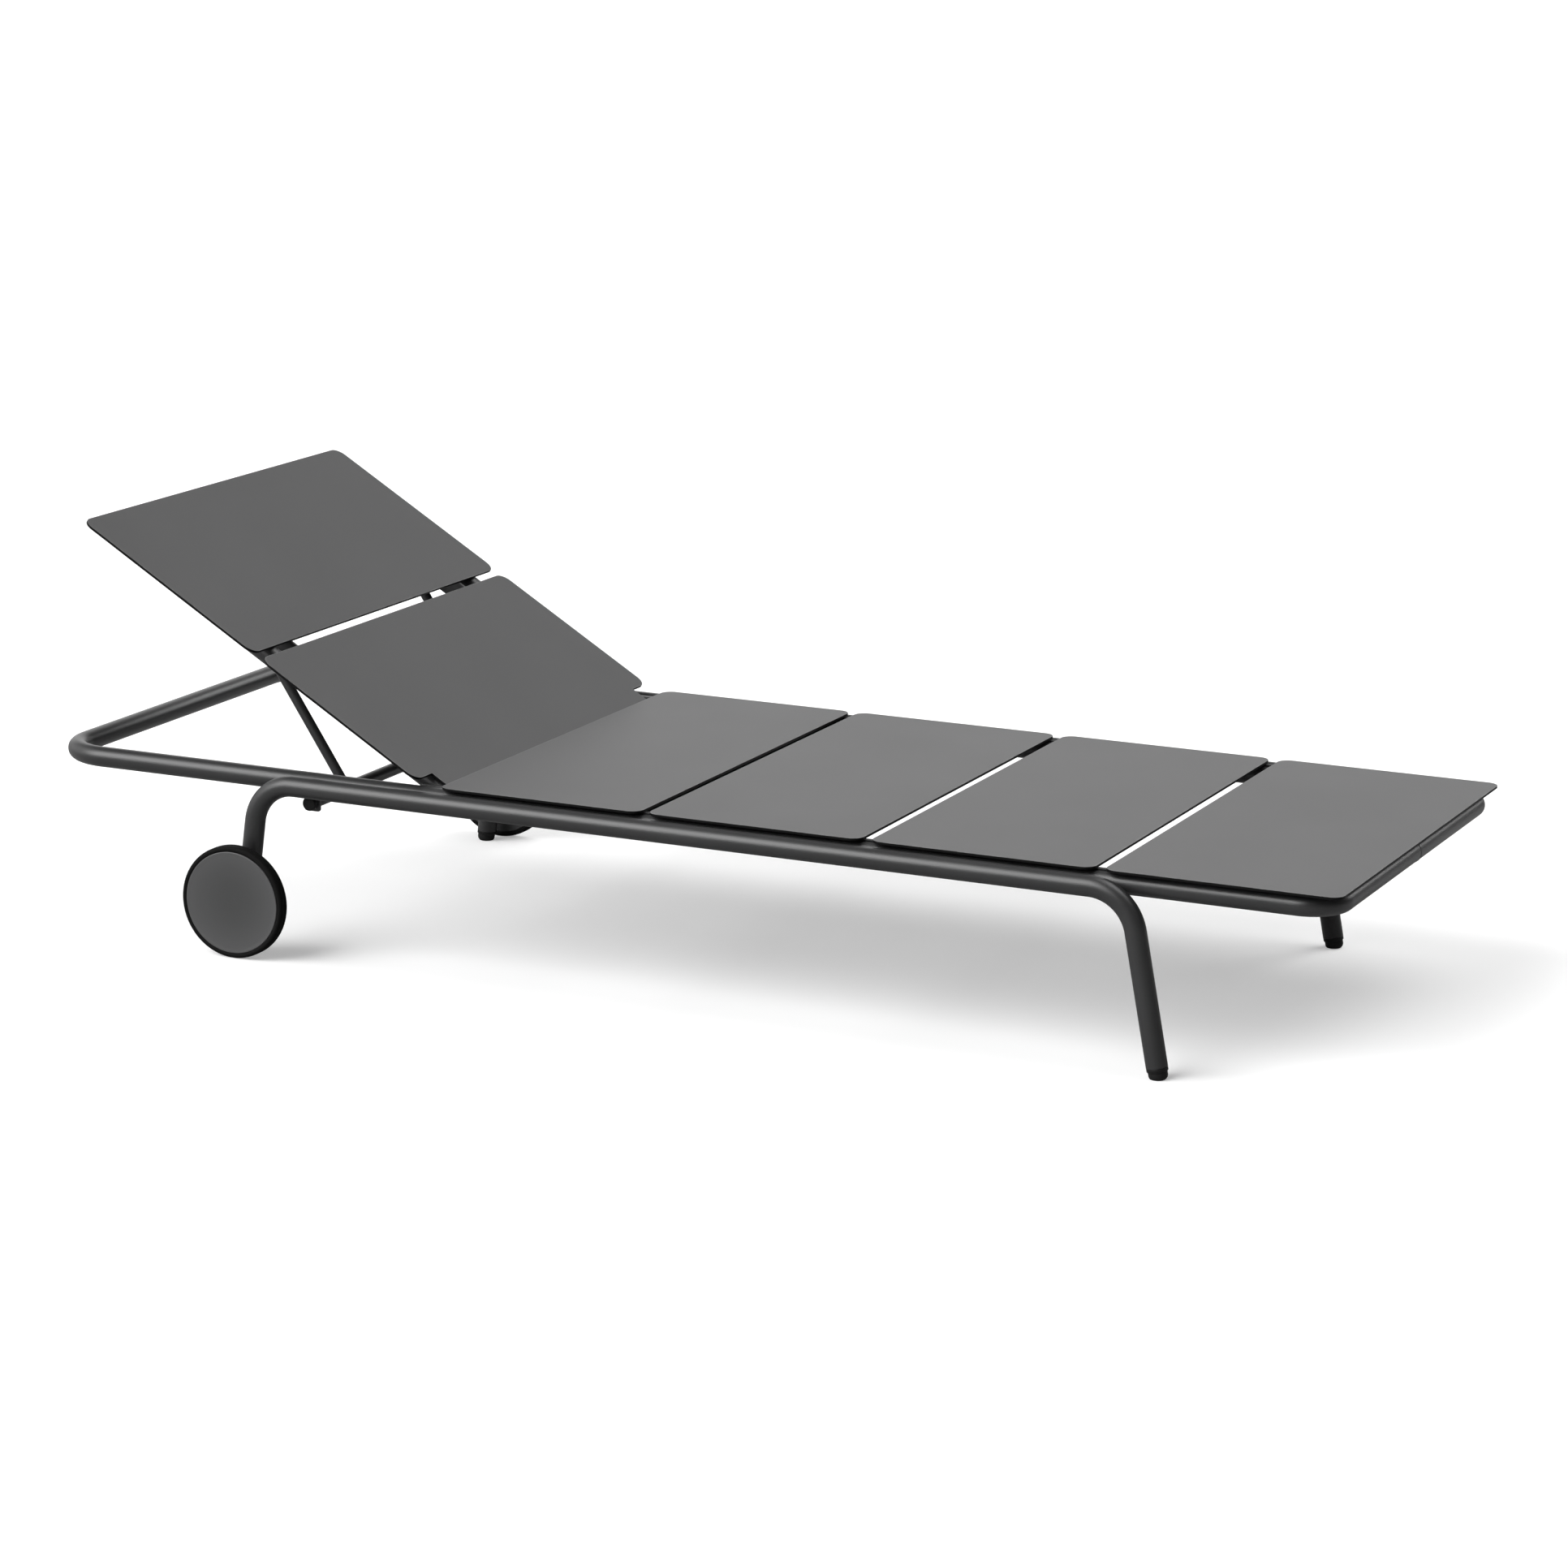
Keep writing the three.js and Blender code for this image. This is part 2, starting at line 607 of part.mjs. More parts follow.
mainLoop();
crossTubes();
seatPanels();
backRest();
prop();
for (const [name, side] of SIDES) {
  legTube(name, side);
  footCap(`foot_cap_front_${name}`, FRONT_FOOT_X, -FRONT_LEAN, side);
  footCap(`foot_cap_rear_${name}`, REAR_FOOT_X, REAR_LEAN, side);
  axle(name, side);
  wheel(name, side);
  railStrip(name, side);
  hinge(name, side);
  propHanger(name, side);
}

export default sunLounger;
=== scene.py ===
# %% [markdown]
# # A sun lounger of bent tube and flat sheet
#
# The lounger is a long loop of round tube with flat metal panels on top, two bent leg
# tubes, a back rest that is held up by a prop in a pair of racks, and two plain wheels.
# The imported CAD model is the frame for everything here: it says where each part is and
# what moves. The cells below load it, light it, and then give each part its real surface.

# %% Load the frame
import json
import math

import bmesh
import bpy
from mathutils import Matrix, Vector


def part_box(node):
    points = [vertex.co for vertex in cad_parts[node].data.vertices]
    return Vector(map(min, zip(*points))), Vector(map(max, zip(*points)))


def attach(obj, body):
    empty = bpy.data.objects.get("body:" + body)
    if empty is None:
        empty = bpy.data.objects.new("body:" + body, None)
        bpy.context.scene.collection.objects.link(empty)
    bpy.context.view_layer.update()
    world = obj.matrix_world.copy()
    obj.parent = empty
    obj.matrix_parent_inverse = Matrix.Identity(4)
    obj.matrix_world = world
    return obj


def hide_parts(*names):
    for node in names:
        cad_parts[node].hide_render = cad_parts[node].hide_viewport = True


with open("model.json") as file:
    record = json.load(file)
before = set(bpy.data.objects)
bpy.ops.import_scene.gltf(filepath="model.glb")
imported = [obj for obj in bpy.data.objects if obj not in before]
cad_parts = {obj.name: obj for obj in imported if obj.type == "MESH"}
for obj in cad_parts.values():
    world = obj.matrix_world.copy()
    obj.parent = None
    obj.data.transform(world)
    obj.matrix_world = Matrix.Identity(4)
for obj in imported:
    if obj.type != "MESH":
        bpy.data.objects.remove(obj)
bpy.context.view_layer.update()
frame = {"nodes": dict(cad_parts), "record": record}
record = frame["record"]

# %% [markdown]
# ## Camera
#
# A long lens from far away keeps the panels' edges almost parallel, as in a catalogue
# picture. The camera is placed on a circle round the lounger by its azimuth, its height
# angle and its distance, and then rolled very slightly.

# %% Camera
AIM = Vector((0.0335, 0.0, 0.245))
AZIMUTH = math.radians(24.20)
ELEVATION = math.radians(13.24)
ROLL = math.radians(0.89)
DISTANCE = 6.9469
LENS = 109.87

away = Vector((math.sin(AZIMUTH) * math.cos(ELEVATION),
               -math.cos(AZIMUTH) * math.cos(ELEVATION), math.sin(ELEVATION)))
side = away.cross(Vector((0, 0, 1))) * -1
side.normalize()
upward = away.cross(side)
turned_side = side * math.cos(ROLL) + upward * math.sin(ROLL)
turned_up = upward * math.cos(ROLL) - side * math.sin(ROLL)
camera = bpy.data.objects.new("camera", bpy.data.cameras.new("camera"))
camera.matrix_world = Matrix.Translation(AIM + away * DISTANCE) @ Matrix(
    (turned_side, turned_up, away)).transposed().to_4x4()
camera.data.lens = LENS
camera.data.sensor_width = 36.0
camera.data.clip_end = 100.0
bpy.context.collection.objects.link(camera)
bpy.context.scene.camera = camera
print("camera at", [round(c, 3) for c in camera.matrix_world.translation])

# %% [markdown]
# ## Floor and light
#
# Catalogue loungers stand on a white sweep between a few large softboxes. A pale matt
# floor stands in for the sweep. It glows faintly to the camera, which keeps it white, and
# it is darker to every other ray, so it throws less light up under the tubes. The
# softboxes are painted into the sky as soft round patches, because a patch of sky lights
# the whole floor evenly and never shows an edge. The dim sky between the patches is what
# gives the tubes their dark bands. The camera itself sees plain white behind the lounger.

# %% Floor
FLOOR_SIZE = 60.0
FLOOR_DROP = 0.0002
FLOOR_GLOW = 0.33
FLOOR_TONE = (0.72, 0.72, 0.72)
FLOOR_BOUNCE = (0.30, 0.30, 0.30)


def plain_material(name, color, roughness):
    material = bpy.data.materials.new(name)
    material.use_nodes = True
    shader = material.node_tree.nodes["Principled BSDF"]
    shader.inputs["Base Color"].default_value = (*color, 1.0)
    shader.inputs["Roughness"].default_value = roughness
    return material


floor_mesh = bpy.data.meshes.new("floor")
half = FLOOR_SIZE / 2
floor_mesh.from_pydata(
    [(-half, -half, 0), (half, -half, 0), (half, half, 0), (-half, half, 0)], [],
    [(0, 1, 2, 3)])
floor = bpy.data.objects.new("floor", floor_mesh)
floor.location.z = -FLOOR_DROP
bpy.context.collection.objects.link(floor)
floor_paint = plain_material("pale floor", FLOOR_TONE, 0.9)
floor_mesh.materials.append(floor_paint)
floor_nodes = floor_paint.node_tree
floor_shader = floor_nodes.nodes["Principled BSDF"]
floor_shader.inputs["Specular IOR Level"].default_value = 0.0
seen_floor = floor_nodes.nodes.new("ShaderNodeLightPath").outputs["Is Camera Ray"]
lift = floor_nodes.nodes.new("ShaderNodeMath")
lift.operation = "MULTIPLY"
lift.inputs[1].default_value = FLOOR_GLOW
floor_shader.inputs["Emission Color"].default_value = (1, 1, 1, 1)
floor_nodes.links.new(seen_floor, lift.inputs[0])
floor_nodes.links.new(lift.outputs[0], floor_shader.inputs["Emission Strength"])
bounce = floor_nodes.nodes.new("ShaderNodeMix")
bounce.data_type = "RGBA"
bounce.inputs[6].default_value = (*FLOOR_BOUNCE, 1)
bounce.inputs[7].default_value = (*FLOOR_TONE, 1)
floor_nodes.links.new(seen_floor, bounce.inputs[0])
floor_nodes.links.new(bounce.outputs[2], floor_shader.inputs["Base Color"])
print("floor is", FLOOR_SIZE, "m across")

# %% Light
SKY = 0.07
# each softbox: direction, half-angle of its bright middle, half-angle of its edge, strength
SOFTBOXES = {
    "overhead": ((0.30, 0.30, 0.91), 12.0, 30.0, 3.4),
    "far side": ((0.36, 0.84, 0.42), 5.0, 17.0, 4.5),
    "front left": ((-0.44, -0.66, 0.61), 10.0, 32.0, 7.6),
    "behind": ((-0.45, 0.87, 0.14), 14.0, 34.0, 1.25),
    "head end": ((-0.92, -0.15, 0.25), 20.0, 50.0, 1.0),
}

world = bpy.data.worlds.new("studio")
world.use_nodes = True
bpy.context.scene.world = world
sky = world.node_tree
background = sky.nodes["Background"]
direction = sky.nodes.new("ShaderNodeTexCoord").outputs["Generated"]
total = None
for label, (toward, inner, outer, strength) in SOFTBOXES.items():
    facing = sky.nodes.new("ShaderNodeVectorMath")
    facing.operation = "DOT_PRODUCT"
    facing.inputs[1].default_value = Vector(toward).normalized()
    sky.links.new(direction, facing.inputs[0])
    patch = sky.nodes.new("ShaderNodeMapRange")
    patch.interpolation_type = "SMOOTHSTEP"
    patch.inputs["From Min"].default_value = math.cos(math.radians(outer))
    patch.inputs["From Max"].default_value = math.cos(math.radians(inner))
    patch.inputs["To Max"].default_value = strength
    sky.links.new(facing.outputs["Value"], patch.inputs["Value"])
    addition = sky.nodes.new("ShaderNodeMath")
    addition.inputs[1].default_value = SKY
    sky.links.new(patch.outputs["Result"], addition.inputs[0])
    if total is not None:
        sky.links.new(total, addition.inputs[1])
    total = addition.outputs[0]
seen = sky.nodes.new("ShaderNodeLightPath")
white = sky.nodes.new("ShaderNodeMix")
white.inputs[3].default_value = 1.0
sky.links.new(seen.outputs["Is Camera Ray"], white.inputs[0])
sky.links.new(total, white.inputs[2])
sky.links.new(white.outputs[0], background.inputs["Strength"])
background.inputs["Color"].default_value = (1, 1, 1, 1)
bpy.context.scene.view_settings.view_transform = "Standard"
print(len(SOFTBOXES), "softboxes")

# %% [markdown]
# ## Powder coat
#
# Every metal part is sprayed with the same charcoal powder paint, then baked. The powder
# melts into a fine, slightly pebbled skin. It shows as tiny bumps and faint clouds in the
# tone. A few bright specks are painted into the colour as painted glints, where a bump would
# catch the light. Those effects are built once as a node group and used by all the painted
# finishes with their own values.

# %% Powder grain group


def shader_group(name, inputs, outputs):
    """An empty shader node group with its sockets, and the nodes at its two ends."""
    tree = bpy.data.node_groups.new(name, "ShaderNodeTree")
    for label, kind, value in inputs:
        socket = tree.interface.new_socket(label, in_out="INPUT", socket_type=kind)
        if value is not None:
            socket.default_value = value
    for label, kind in outputs:
        tree.interface.new_socket(label, in_out="OUTPUT", socket_type=kind)
    return tree, tree.nodes.new("NodeGroupInput"), tree.nodes.new("NodeGroupOutput")


def noise(tree, vector, scale, detail=2.0, roughness=0.5):
    node = tree.nodes.new("ShaderNodeTexNoise")
    node.inputs["Scale"].default_value = scale
    node.inputs["Detail"].default_value = detail
    node.inputs["Roughness"].default_value = roughness
    tree.links.new(vector, node.inputs["Vector"])
    return node.outputs["Fac"]


def remap(tree, value, low, high, to_low=0.0, to_high=1.0):
    node = tree.nodes.new("ShaderNodeMapRange")
    for label, number in (("From Min", low), ("From Max", high),
                          ("To Min", to_low), ("To Max", to_high)):
        node.inputs[label].default_value = number
    tree.links.new(value, node.inputs["Value"])
    return node.outputs["Result"]


def maths(tree, kind, first, second):
    node = tree.nodes.new("ShaderNodeMath")
    node.operation = kind
    for socket, value in zip(node.inputs, (first, second)):
        if isinstance(value, (int, float)):
            socket.default_value = value
        else:
            tree.links.new(value, socket)
    return node.outputs[0]


def attribute(tree, label):
    """The value that the mesh carries under this name, or 0 where it carries none."""
    node = tree.nodes.new("ShaderNodeAttribute")
    node.attribute_name = label
    return node.outputs["Fac"]


FLOAT, VECTOR = "NodeSocketFloat", "NodeSocketVector"
powder_grain, start, end = shader_group(
    "powder grain",
    [("Vector", VECTOR, None), ("Pebble Scale", FLOAT, 900.0), ("Cloud Scale", FLOAT, 6.0)],
    [("Height", FLOAT), ("Painted Glints", FLOAT), ("Clouds", FLOAT)])
pebbles = noise(powder_grain, start.outputs["Vector"], 900.0, 2.0, 0.6)
powder_grain.links.new(start.outputs["Pebble Scale"], pebbles.node.inputs["Scale"])
# painted glints: noise for the bright specks painted into the colour where a bump would catch the
# light
glint_noise = noise(powder_grain, start.outputs["Vector"], 2300.0, 1.0)
clouds = noise(powder_grain, start.outputs["Vector"], 6.0, 3.0)
powder_grain.links.new(start.outputs["Cloud Scale"], clouds.node.inputs["Scale"])
powder_grain.links.new(pebbles, end.inputs["Height"])
powder_grain.links.new(remap(powder_grain, glint_noise, 0.62, 0.74), end.inputs["Painted Glints"])
powder_grain.links.new(remap(powder_grain, clouds, 0.3, 0.7), end.inputs["Clouds"])
print("powder grain has", len(powder_grain.nodes), "nodes")

# %% [markdown]
# ## Edge wear and painted highlight
#
# Paint draws back from a sharp edge as it melts, and the edge is what gets rubbed. The
# mesh code marks rounded edges with an attribute called edge. On the flat sheets only the
# top edge is marked, so there the lighter colour is a painted highlight along the edge that
# faces the light. This group breaks that mark up with noise so that the wear and the
# painted highlight are patchy.

# %% Edge wear and painted highlight group
edge_wear_and_highlight, start, end = shader_group(
    "worn and lit edge", [("Vector", VECTOR, None), ("Amount", FLOAT, 0.5)], [("Wear And Highlight", FLOAT)])
marked = attribute(edge_wear_and_highlight, "edge")
patches = remap(edge_wear_and_highlight, noise(edge_wear_and_highlight, start.outputs["Vector"], 45.0, 4.0), 0.35, 0.65)
# wear and painted highlight: the marked edge, broken up into patches
worn_and_lit = maths(edge_wear_and_highlight, "MULTIPLY", marked, patches)
edge_wear_and_highlight.links.new(maths(edge_wear_and_highlight, "MULTIPLY", worn_and_lit, start.outputs["Amount"]),
                    end.inputs["Wear And Highlight"])
print("worn and lit edge has", len(edge_wear_and_highlight.nodes), "nodes")

# %% Painted finishes


def mix_color(tree, factor, dark, light):
    node = tree.nodes.new("ShaderNodeMix")
    node.data_type = "RGBA"
    for socket, value in ((node.inputs[6], dark), (node.inputs[7], light)):
        if isinstance(value, tuple):
            socket.default_value = (*value, 1.0)
        else:
            tree.links.new(value, socket)
    tree.links.new(factor, node.inputs[0])
    return node.outputs[2]


def place_group(tree, group, vector, **values):
    node = tree.nodes.new("ShaderNodeGroup")
    node.node_tree = group
    tree.links.new(vector, node.inputs["Vector"])
    for label, value in values.items():
        node.inputs[label.replace("_", " ")].default_value = value
    return node.outputs


def powder_coat(name, dark, light, rough, bump, wear_and_highlight=0.5):
    """A powder-painted finish: clouded tone, pebbled bumps, painted glints, patchy worn edges
    with a painted highlight, a painted lighter rim and painted shade on marked faces.
    """
    material = bpy.data.materials.new(name)
    material.use_nodes = True
    tree = material.node_tree
    shader = tree.nodes["Principled BSDF"]
    where = tree.nodes.new("ShaderNodeTexCoord").outputs["Object"]
    grain = place_group(tree, powder_grain, where)
    worn_and_lit_edge = place_group(tree, edge_wear_and_highlight, where, Amount=wear_and_highlight)["Wear And Highlight"]
    tone = mix_color(tree, grain["Clouds"], dark, light)
    # painted glints: a few specks of the colour are lightened to stand in for sparkle of light
    glint_tone = tuple(min(1.0, c * 2.6) for c in light)
    tone = mix_color(tree, maths(tree, "MULTIPLY", grain["Painted Glints"], 0.30), tone, glint_tone)
    # the marked edges are lightened: wear, and on the sheets' top edges a painted highlight
    tone = mix_color(tree, worn_and_lit_edge, tone, tuple(c * 3.2 for c in light))
    # painted shading of the wheel's dish: the disc's colour is lighter towards its rim
    painted_rim_light = attribute(tree, "painted_rim_light")
    tone = mix_color(tree, painted_rim_light, tone, tuple(c * 1.55 for c in light))
    # painted shade: the sheets' side faces and lower bevel are painted nearly black, with a weak
    # shine
    painted_shade_face = attribute(tree, "painted_shade_face")
    tone = mix_color(tree, painted_shade_face, tone, tuple(c * 0.12 for c in dark))
    tree.links.new(tone, shader.inputs["Base Color"])
    tree.links.new(remap(tree, painted_shade_face, 0.0, 1.0, 0.5, 0.08),
                   shader.inputs["Specular IOR Level"])
    tree.links.new(remap(tree, grain["Clouds"], 0.0, 1.0, rough - 0.01, rough + 0.02),
                   shader.inputs["Roughness"])
    relief = tree.nodes.new("ShaderNodeBump")
    relief.inputs["Strength"].default_value = bump
    relief.inputs["Distance"].default_value = 0.0004
    tree.links.new(grain["Height"], relief.inputs["Height"])
    tree.links.new(relief.outputs["Normal"], shader.inputs["Normal"])
    return material


# the tubes carry the same powder as the sheets; their darker tone here is painted shade for the
# dark flanks of the round tubes
shaded_tube_paint = powder_coat("shaded tube paint", (0.022, 0.022, 0.0225), (0.030, 0.030, 0.0305), 0.34,
                         bump=0.45)
panel_paint = powder_coat("panel paint", (0.046, 0.046, 0.0465), (0.052, 0.052, 0.0525), 0.46,
                          bump=0.2, wear_and_highlight=0.6)
disc_paint = powder_coat("wheel disc paint", (0.043, 0.043, 0.0438), (0.048, 0.048, 0.0488), 0.46,
                         bump=0.2)
print("painted finishes:", shaded_tube_paint.name, panel_paint.name, disc_paint.name)

# %% [markdown]
# ## Plastic, rubber and steel
#
# The foot caps and plugs are moulded black plastic with a fine spark-eroded texture. The
# tyre is a firm rubber, a little dusty where it rolls. The bolts and pins are bare steel
# with turning marks.

# %% Plastic, rubber and steel


def moulded(name, dark, light, rough, grain_scale, bump):
    """Plastic or rubber: an even fine texture and slow changes in tone and gloss."""
    material = bpy.data.materials.new(name)
    material.use_nodes = True
    tree = material.node_tree
    shader = tree.nodes["Principled BSDF"]
    where = tree.nodes.new("ShaderNodeTexCoord").outputs["Object"]
    slow = remap(tree, noise(tree, where, 22.0, 4.0), 0.3, 0.7)
    fine = noise(tree, where, grain_scale, 2.0, 0.6)
    tree.links.new(mix_color(tree, slow, dark, light), shader.inputs["Base Color"])
    tree.links.new(remap(tree, slow, 0.0, 1.0, rough - 0.06, rough + 0.06),
                   shader.inputs["Roughness"])
    relief = tree.nodes.new("ShaderNodeBump")
    relief.inputs["Strength"].default_value = bump
    relief.inputs["Distance"].default_value = 0.0003
    tree.links.new(fine, relief.inputs["Height"])
    tree.links.new(relief.outputs["Normal"], shader.inputs["Normal"])
    return material


def turned_steel(name):
    material = moulded(name, (0.30, 0.30, 0.31), (0.42, 0.42, 0.43), 0.36, 1500.0, 0.15)
    material.node_tree.nodes["Principled BSDF"].inputs["Metallic"].default_value = 1.0
    return material


black_plastic = moulded("black plastic", (0.005, 0.005, 0.005), (0.009, 0.009, 0.009), 0.52,
                        1300.0, 0.3)
nylon = moulded("grey nylon", (0.010, 0.010, 0.0105), (0.016, 0.016, 0.0165), 0.55, 1100.0, 0.2)
rubber = moulded("tyre rubber", (0.0030, 0.0030, 0.0030), (0.0055, 0.0054, 0.0053), 0.78, 800.0,
                 0.4)
for dull, amount in ((rubber, 0.12), (black_plastic, 0.30), (nylon, 0.30)):
    dull.node_tree.nodes["Principled BSDF"].inputs["Specular IOR Level"].default_value = amount
steel = turned_steel("bolt steel")
print("other finishes:", black_plastic.name, nylon.name, rubber.name, steel.name)

# %% [markdown]
# ## Helpers for pieces
#
# A finished piece is a mesh at the origin with its place in its points. `add_piece` makes
# the object, gives it its finish, lets it ride on a CAD body, and hides the CAD nodes that
# it stands for. `local_box` measures a CAD node along its own body's directions, which is
# needed for the tilted back rest and prop.

# %% Piece helpers
SHADE_ANGLE = math.radians(35)


def add_piece(name, mesh, material, body, nodes=()):
    mesh.materials.clear()
    mesh.materials.append(material)
    made = bpy.data.objects.new(name, mesh)
    bpy.context.collection.objects.link(made)
    if nodes:
        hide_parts(*nodes)
    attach(made, body)


def mesh_from(builder, name):
    """Turns a bmesh into a mesh with merged points, outward faces and soft shading."""
    bmesh.ops.remove_doubles(builder, verts=builder.verts, dist=1e-6)
    bmesh.ops.recalc_face_normals(builder, faces=builder.faces)
    mesh = bpy.data.meshes.new(name)
    builder.to_mesh(mesh)
    builder.free()
    mesh.shade_smooth()
    mesh.set_sharp_from_angle(angle=SHADE_ANGLE)
    return mesh


def node_points(node, matrix):
    """The points of a CAD node, seen from a local frame."""
    inverse = matrix.inverted()
    return [inverse @ vertex.co for vertex in frame["nodes"][node].data.vertices]


def local_box(node, matrix):
    points = node_points(node, matrix)
    return (Vector([min(p[i] for p in points) for i in range(3)]),
            Vector([max(p[i] for p in points) for i in range(3)]))


joints = {joint["name"]: joint for joint in record["behaviour"]["joints"]}
REST_RECLINE = math.radians(-joints["back_hinge"]["range_deg"][0])
PROP_REST = math.radians(56.13)
WORLD = Matrix.Identity(4)
BACK = (Matrix.Translation(joints["back_hinge"]["pos_m"])
        @ Matrix.Rotation(REST_RECLINE, 4, "Y"))
PROP = (Matrix.Translation(joints["prop_pivot"]["pos_m"])
        @ Matrix.Rotation(PROP_REST, 4, "Y"))
print("the back rests at", round(math.degrees(REST_RECLINE), 2), "degrees")

# %% [markdown]
# ## Bent tubes
#
# A bent tube is a straight-sided path with its corners rounded, and a circle swept along
# it. That is a rule, so Geometry Nodes do it: the path is a line of points, each with its
# own bend radius, Fillet Curve rounds it and Curve to Mesh sweeps the circle. The
# modifier's result is then kept as a plain mesh.

# %% Tube tree


def tree_input(tree, label, kind, value=None):
    socket = tree.interface.new_socket(label, in_out="INPUT", socket_type=kind)
    if value is not None:
        socket.default_value = value
    return socket.identifier


def tube_tree():
    tree = bpy.data.node_groups.new("bent tube", "GeometryNodeTree")
    tree.interface.new_socket("Geometry", in_out="OUTPUT", socket_type="NodeSocketGeometry")
    ids = {
        "Path": tree_input(tree, "Path", "NodeSocketGeometry"),
        "Radius": tree_input(tree, "Radius", "NodeSocketFloat", 0.015),
        "Sides": tree_input(tree, "Sides", "NodeSocketInt", 48),
        "Bend Steps": tree_input(tree, "Bend Steps", "NodeSocketInt", 24),
        "Closed Ends": tree_input(tree, "Closed Ends", "NodeSocketBool", True),
        "Finish": tree_input(tree, "Finish", "NodeSocketMaterial"),
    }
    start = tree.nodes.new("NodeGroupInput").outputs
    end = tree.nodes.new("NodeGroupOutput").inputs
    path = tree.nodes.new("GeometryNodeMeshToCurve")
    fillet = tree.nodes.new("GeometryNodeFilletCurve")
    bend = tree.nodes.new("GeometryNodeInputNamedAttribute")
    circle = tree.nodes.new("GeometryNodeCurvePrimitiveCircle")
    sweep = tree.nodes.new("GeometryNodeCurveToMesh")
    smooth = tree.nodes.new("GeometryNodeSetShadeSmooth")
    realize = tree.nodes.new("GeometryNodeRealizeInstances")
    finish = tree.nodes.new("GeometryNodeSetMaterial")
    bend.data_type = "FLOAT"
    bend.inputs["Name"].default_value = "bend_radius"
    fillet.mode = "POLY"
    for out, into in (
            (start["Path"], path.inputs["Mesh"]),
            (path.outputs["Curve"], fillet.inputs["Curve"]),
            (bend.outputs["Attribute"], fillet.inputs["Radius"]),
            (start["Bend Steps"], fillet.inputs["Count"]),
            (start["Radius"], circle.inputs["Radius"]),
            (start["Sides"], circle.inputs["Resolution"]),
            (fillet.outputs["Curve"], sweep.inputs["Curve"]),
            (circle.outputs["Curve"], sweep.inputs["Profile Curve"]),
            (start["Closed Ends"], sweep.inputs["Fill Caps"]),
            (sweep.outputs["Mesh"], smooth.inputs["Geometry"]),
            (smooth.outputs["Geometry"], realize.inputs["Geometry"]),
            (realize.outputs["Geometry"], finish.inputs["Geometry"]),
            (start["Finish"], finish.inputs["Material"]),
            (finish.outputs["Geometry"], end["Geometry"])):
        tree.links.new(out, into)
    return tree, ids


TUBE_TREE, TUBE_IDS = tube_tree()
print("bent tube inputs:", list(TUBE_IDS))

# %% Tube maker
TUBE_SIDES = 48
BEND_STEPS = 24


def grown(tree, ids, source, name, **values):
    """Runs a Geometry Nodes tree on a mesh and returns the result as a plain mesh."""
    carrier = bpy.data.objects.new(name, source)
    bpy.context.collection.objects.link(carrier)
    modifier = carrier.modifiers.new("grow", "NODES")
    modifier.node_group = tree
    for label, value in values.items():
        modifier[ids[label.replace("_", " ")]] = value
    carrier.data.update()
    graph = bpy.context.evaluated_depsgraph_get()
    mesh = bpy.data.meshes.new_from_object(carrier.evaluated_get(graph))
    mesh.name = name
    bpy.data.objects.remove(carrier)
    return mesh


def path_mesh(points, bends, closed=False):
    """A line of points with a bend radius stored on each."""
    count = len(points)
    edges = [(i, i + 1) for i in range(count - 1)]
    if closed:
        edges.append((count - 1, 0))
    mesh = bpy.data.meshes.new("path")
    mesh.from_pydata([tuple(p) for p in points], edges, [])
    radii = mesh.attributes.new("bend_radius", "FLOAT", "POINT")
    radii.data.foreach_set("value", bends)
    return mesh


def tube_mesh(name, points, radius, bends=None, closed=False, matrix=WORLD):
    """A tube along the points, which are given in the frame that matrix stands for."""
    bends = bends or [0.0] * len(points)
    path = path_mesh([matrix @ Vector(p) for p in points], bends, closed)
    mesh = grown(TUBE_TREE, TUBE_IDS, path, name, Radius=radius, Sides=TUBE_SIDES,
                 Bend_Steps=BEND_STEPS, Closed_Ends=not closed, Finish=shaded_tube_paint)
    builder = bmesh.new()
    builder.from_mesh(mesh)
    for face in builder.faces:
        face.smooth = len(face.verts) == 4
    return mesh_from(builder, name)


print("tube maker ready")

# %% [markdown]
# ## The main loop
#
# One tube runs right round under the panels. Its size comes from the CAD node's box, less
# the tube's own radius. The two ends meet at the middle of the foot end, where they are
# welded and ground flat, so the loop is closed.

# %% Main loop
HEAD_BEND, FOOT_BEND = 0.076, 0.048

low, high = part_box("main_loop_tube")
TUBE_RADIUS = (high[2] - low[2]) / 2
rail_z = low[2] + TUBE_RADIUS
x0, x1 = low[0] + TUBE_RADIUS, high[0] - TUBE_RADIUS
rail_y = high[1] - TUBE_RADIUS
loop_path = [(x1, 0, rail_z), (x1, rail_y, rail_z), (x0, rail_y, rail_z),
             (x0, -rail_y, rail_z), (x1, -rail_y, rail_z)]
loop_bends = [0.0, FOOT_BEND, HEAD_BEND, HEAD_BEND, FOOT_BEND]
loop = tube_mesh("main_loop", loop_path, TUBE_RADIUS, loop_bends, closed=True)
add_piece("main_loop", loop, shaded_tube_paint, "frame", ["main_loop_tube"])
print("main loop:", round(TUBE_RADIUS * 2000, 1), "mm tube,", len(loop.polygons), "faces")

# %% [markdown]
# ## Leg tubes
#
# Each leg tube is an inverted U beside the loop. The front leg leans forward and has the
# wider bend, the rear one is nearly upright. The ends are cut square to the tube, so the
# end's middle is found from the node's box and the lean.

# %% Leg tubes
FRONT_LEAN, REAR_LEAN = math.radians(11.3), math.radians(7.0)
FRONT_BEND, REAR_BEND = 0.069, 0.064

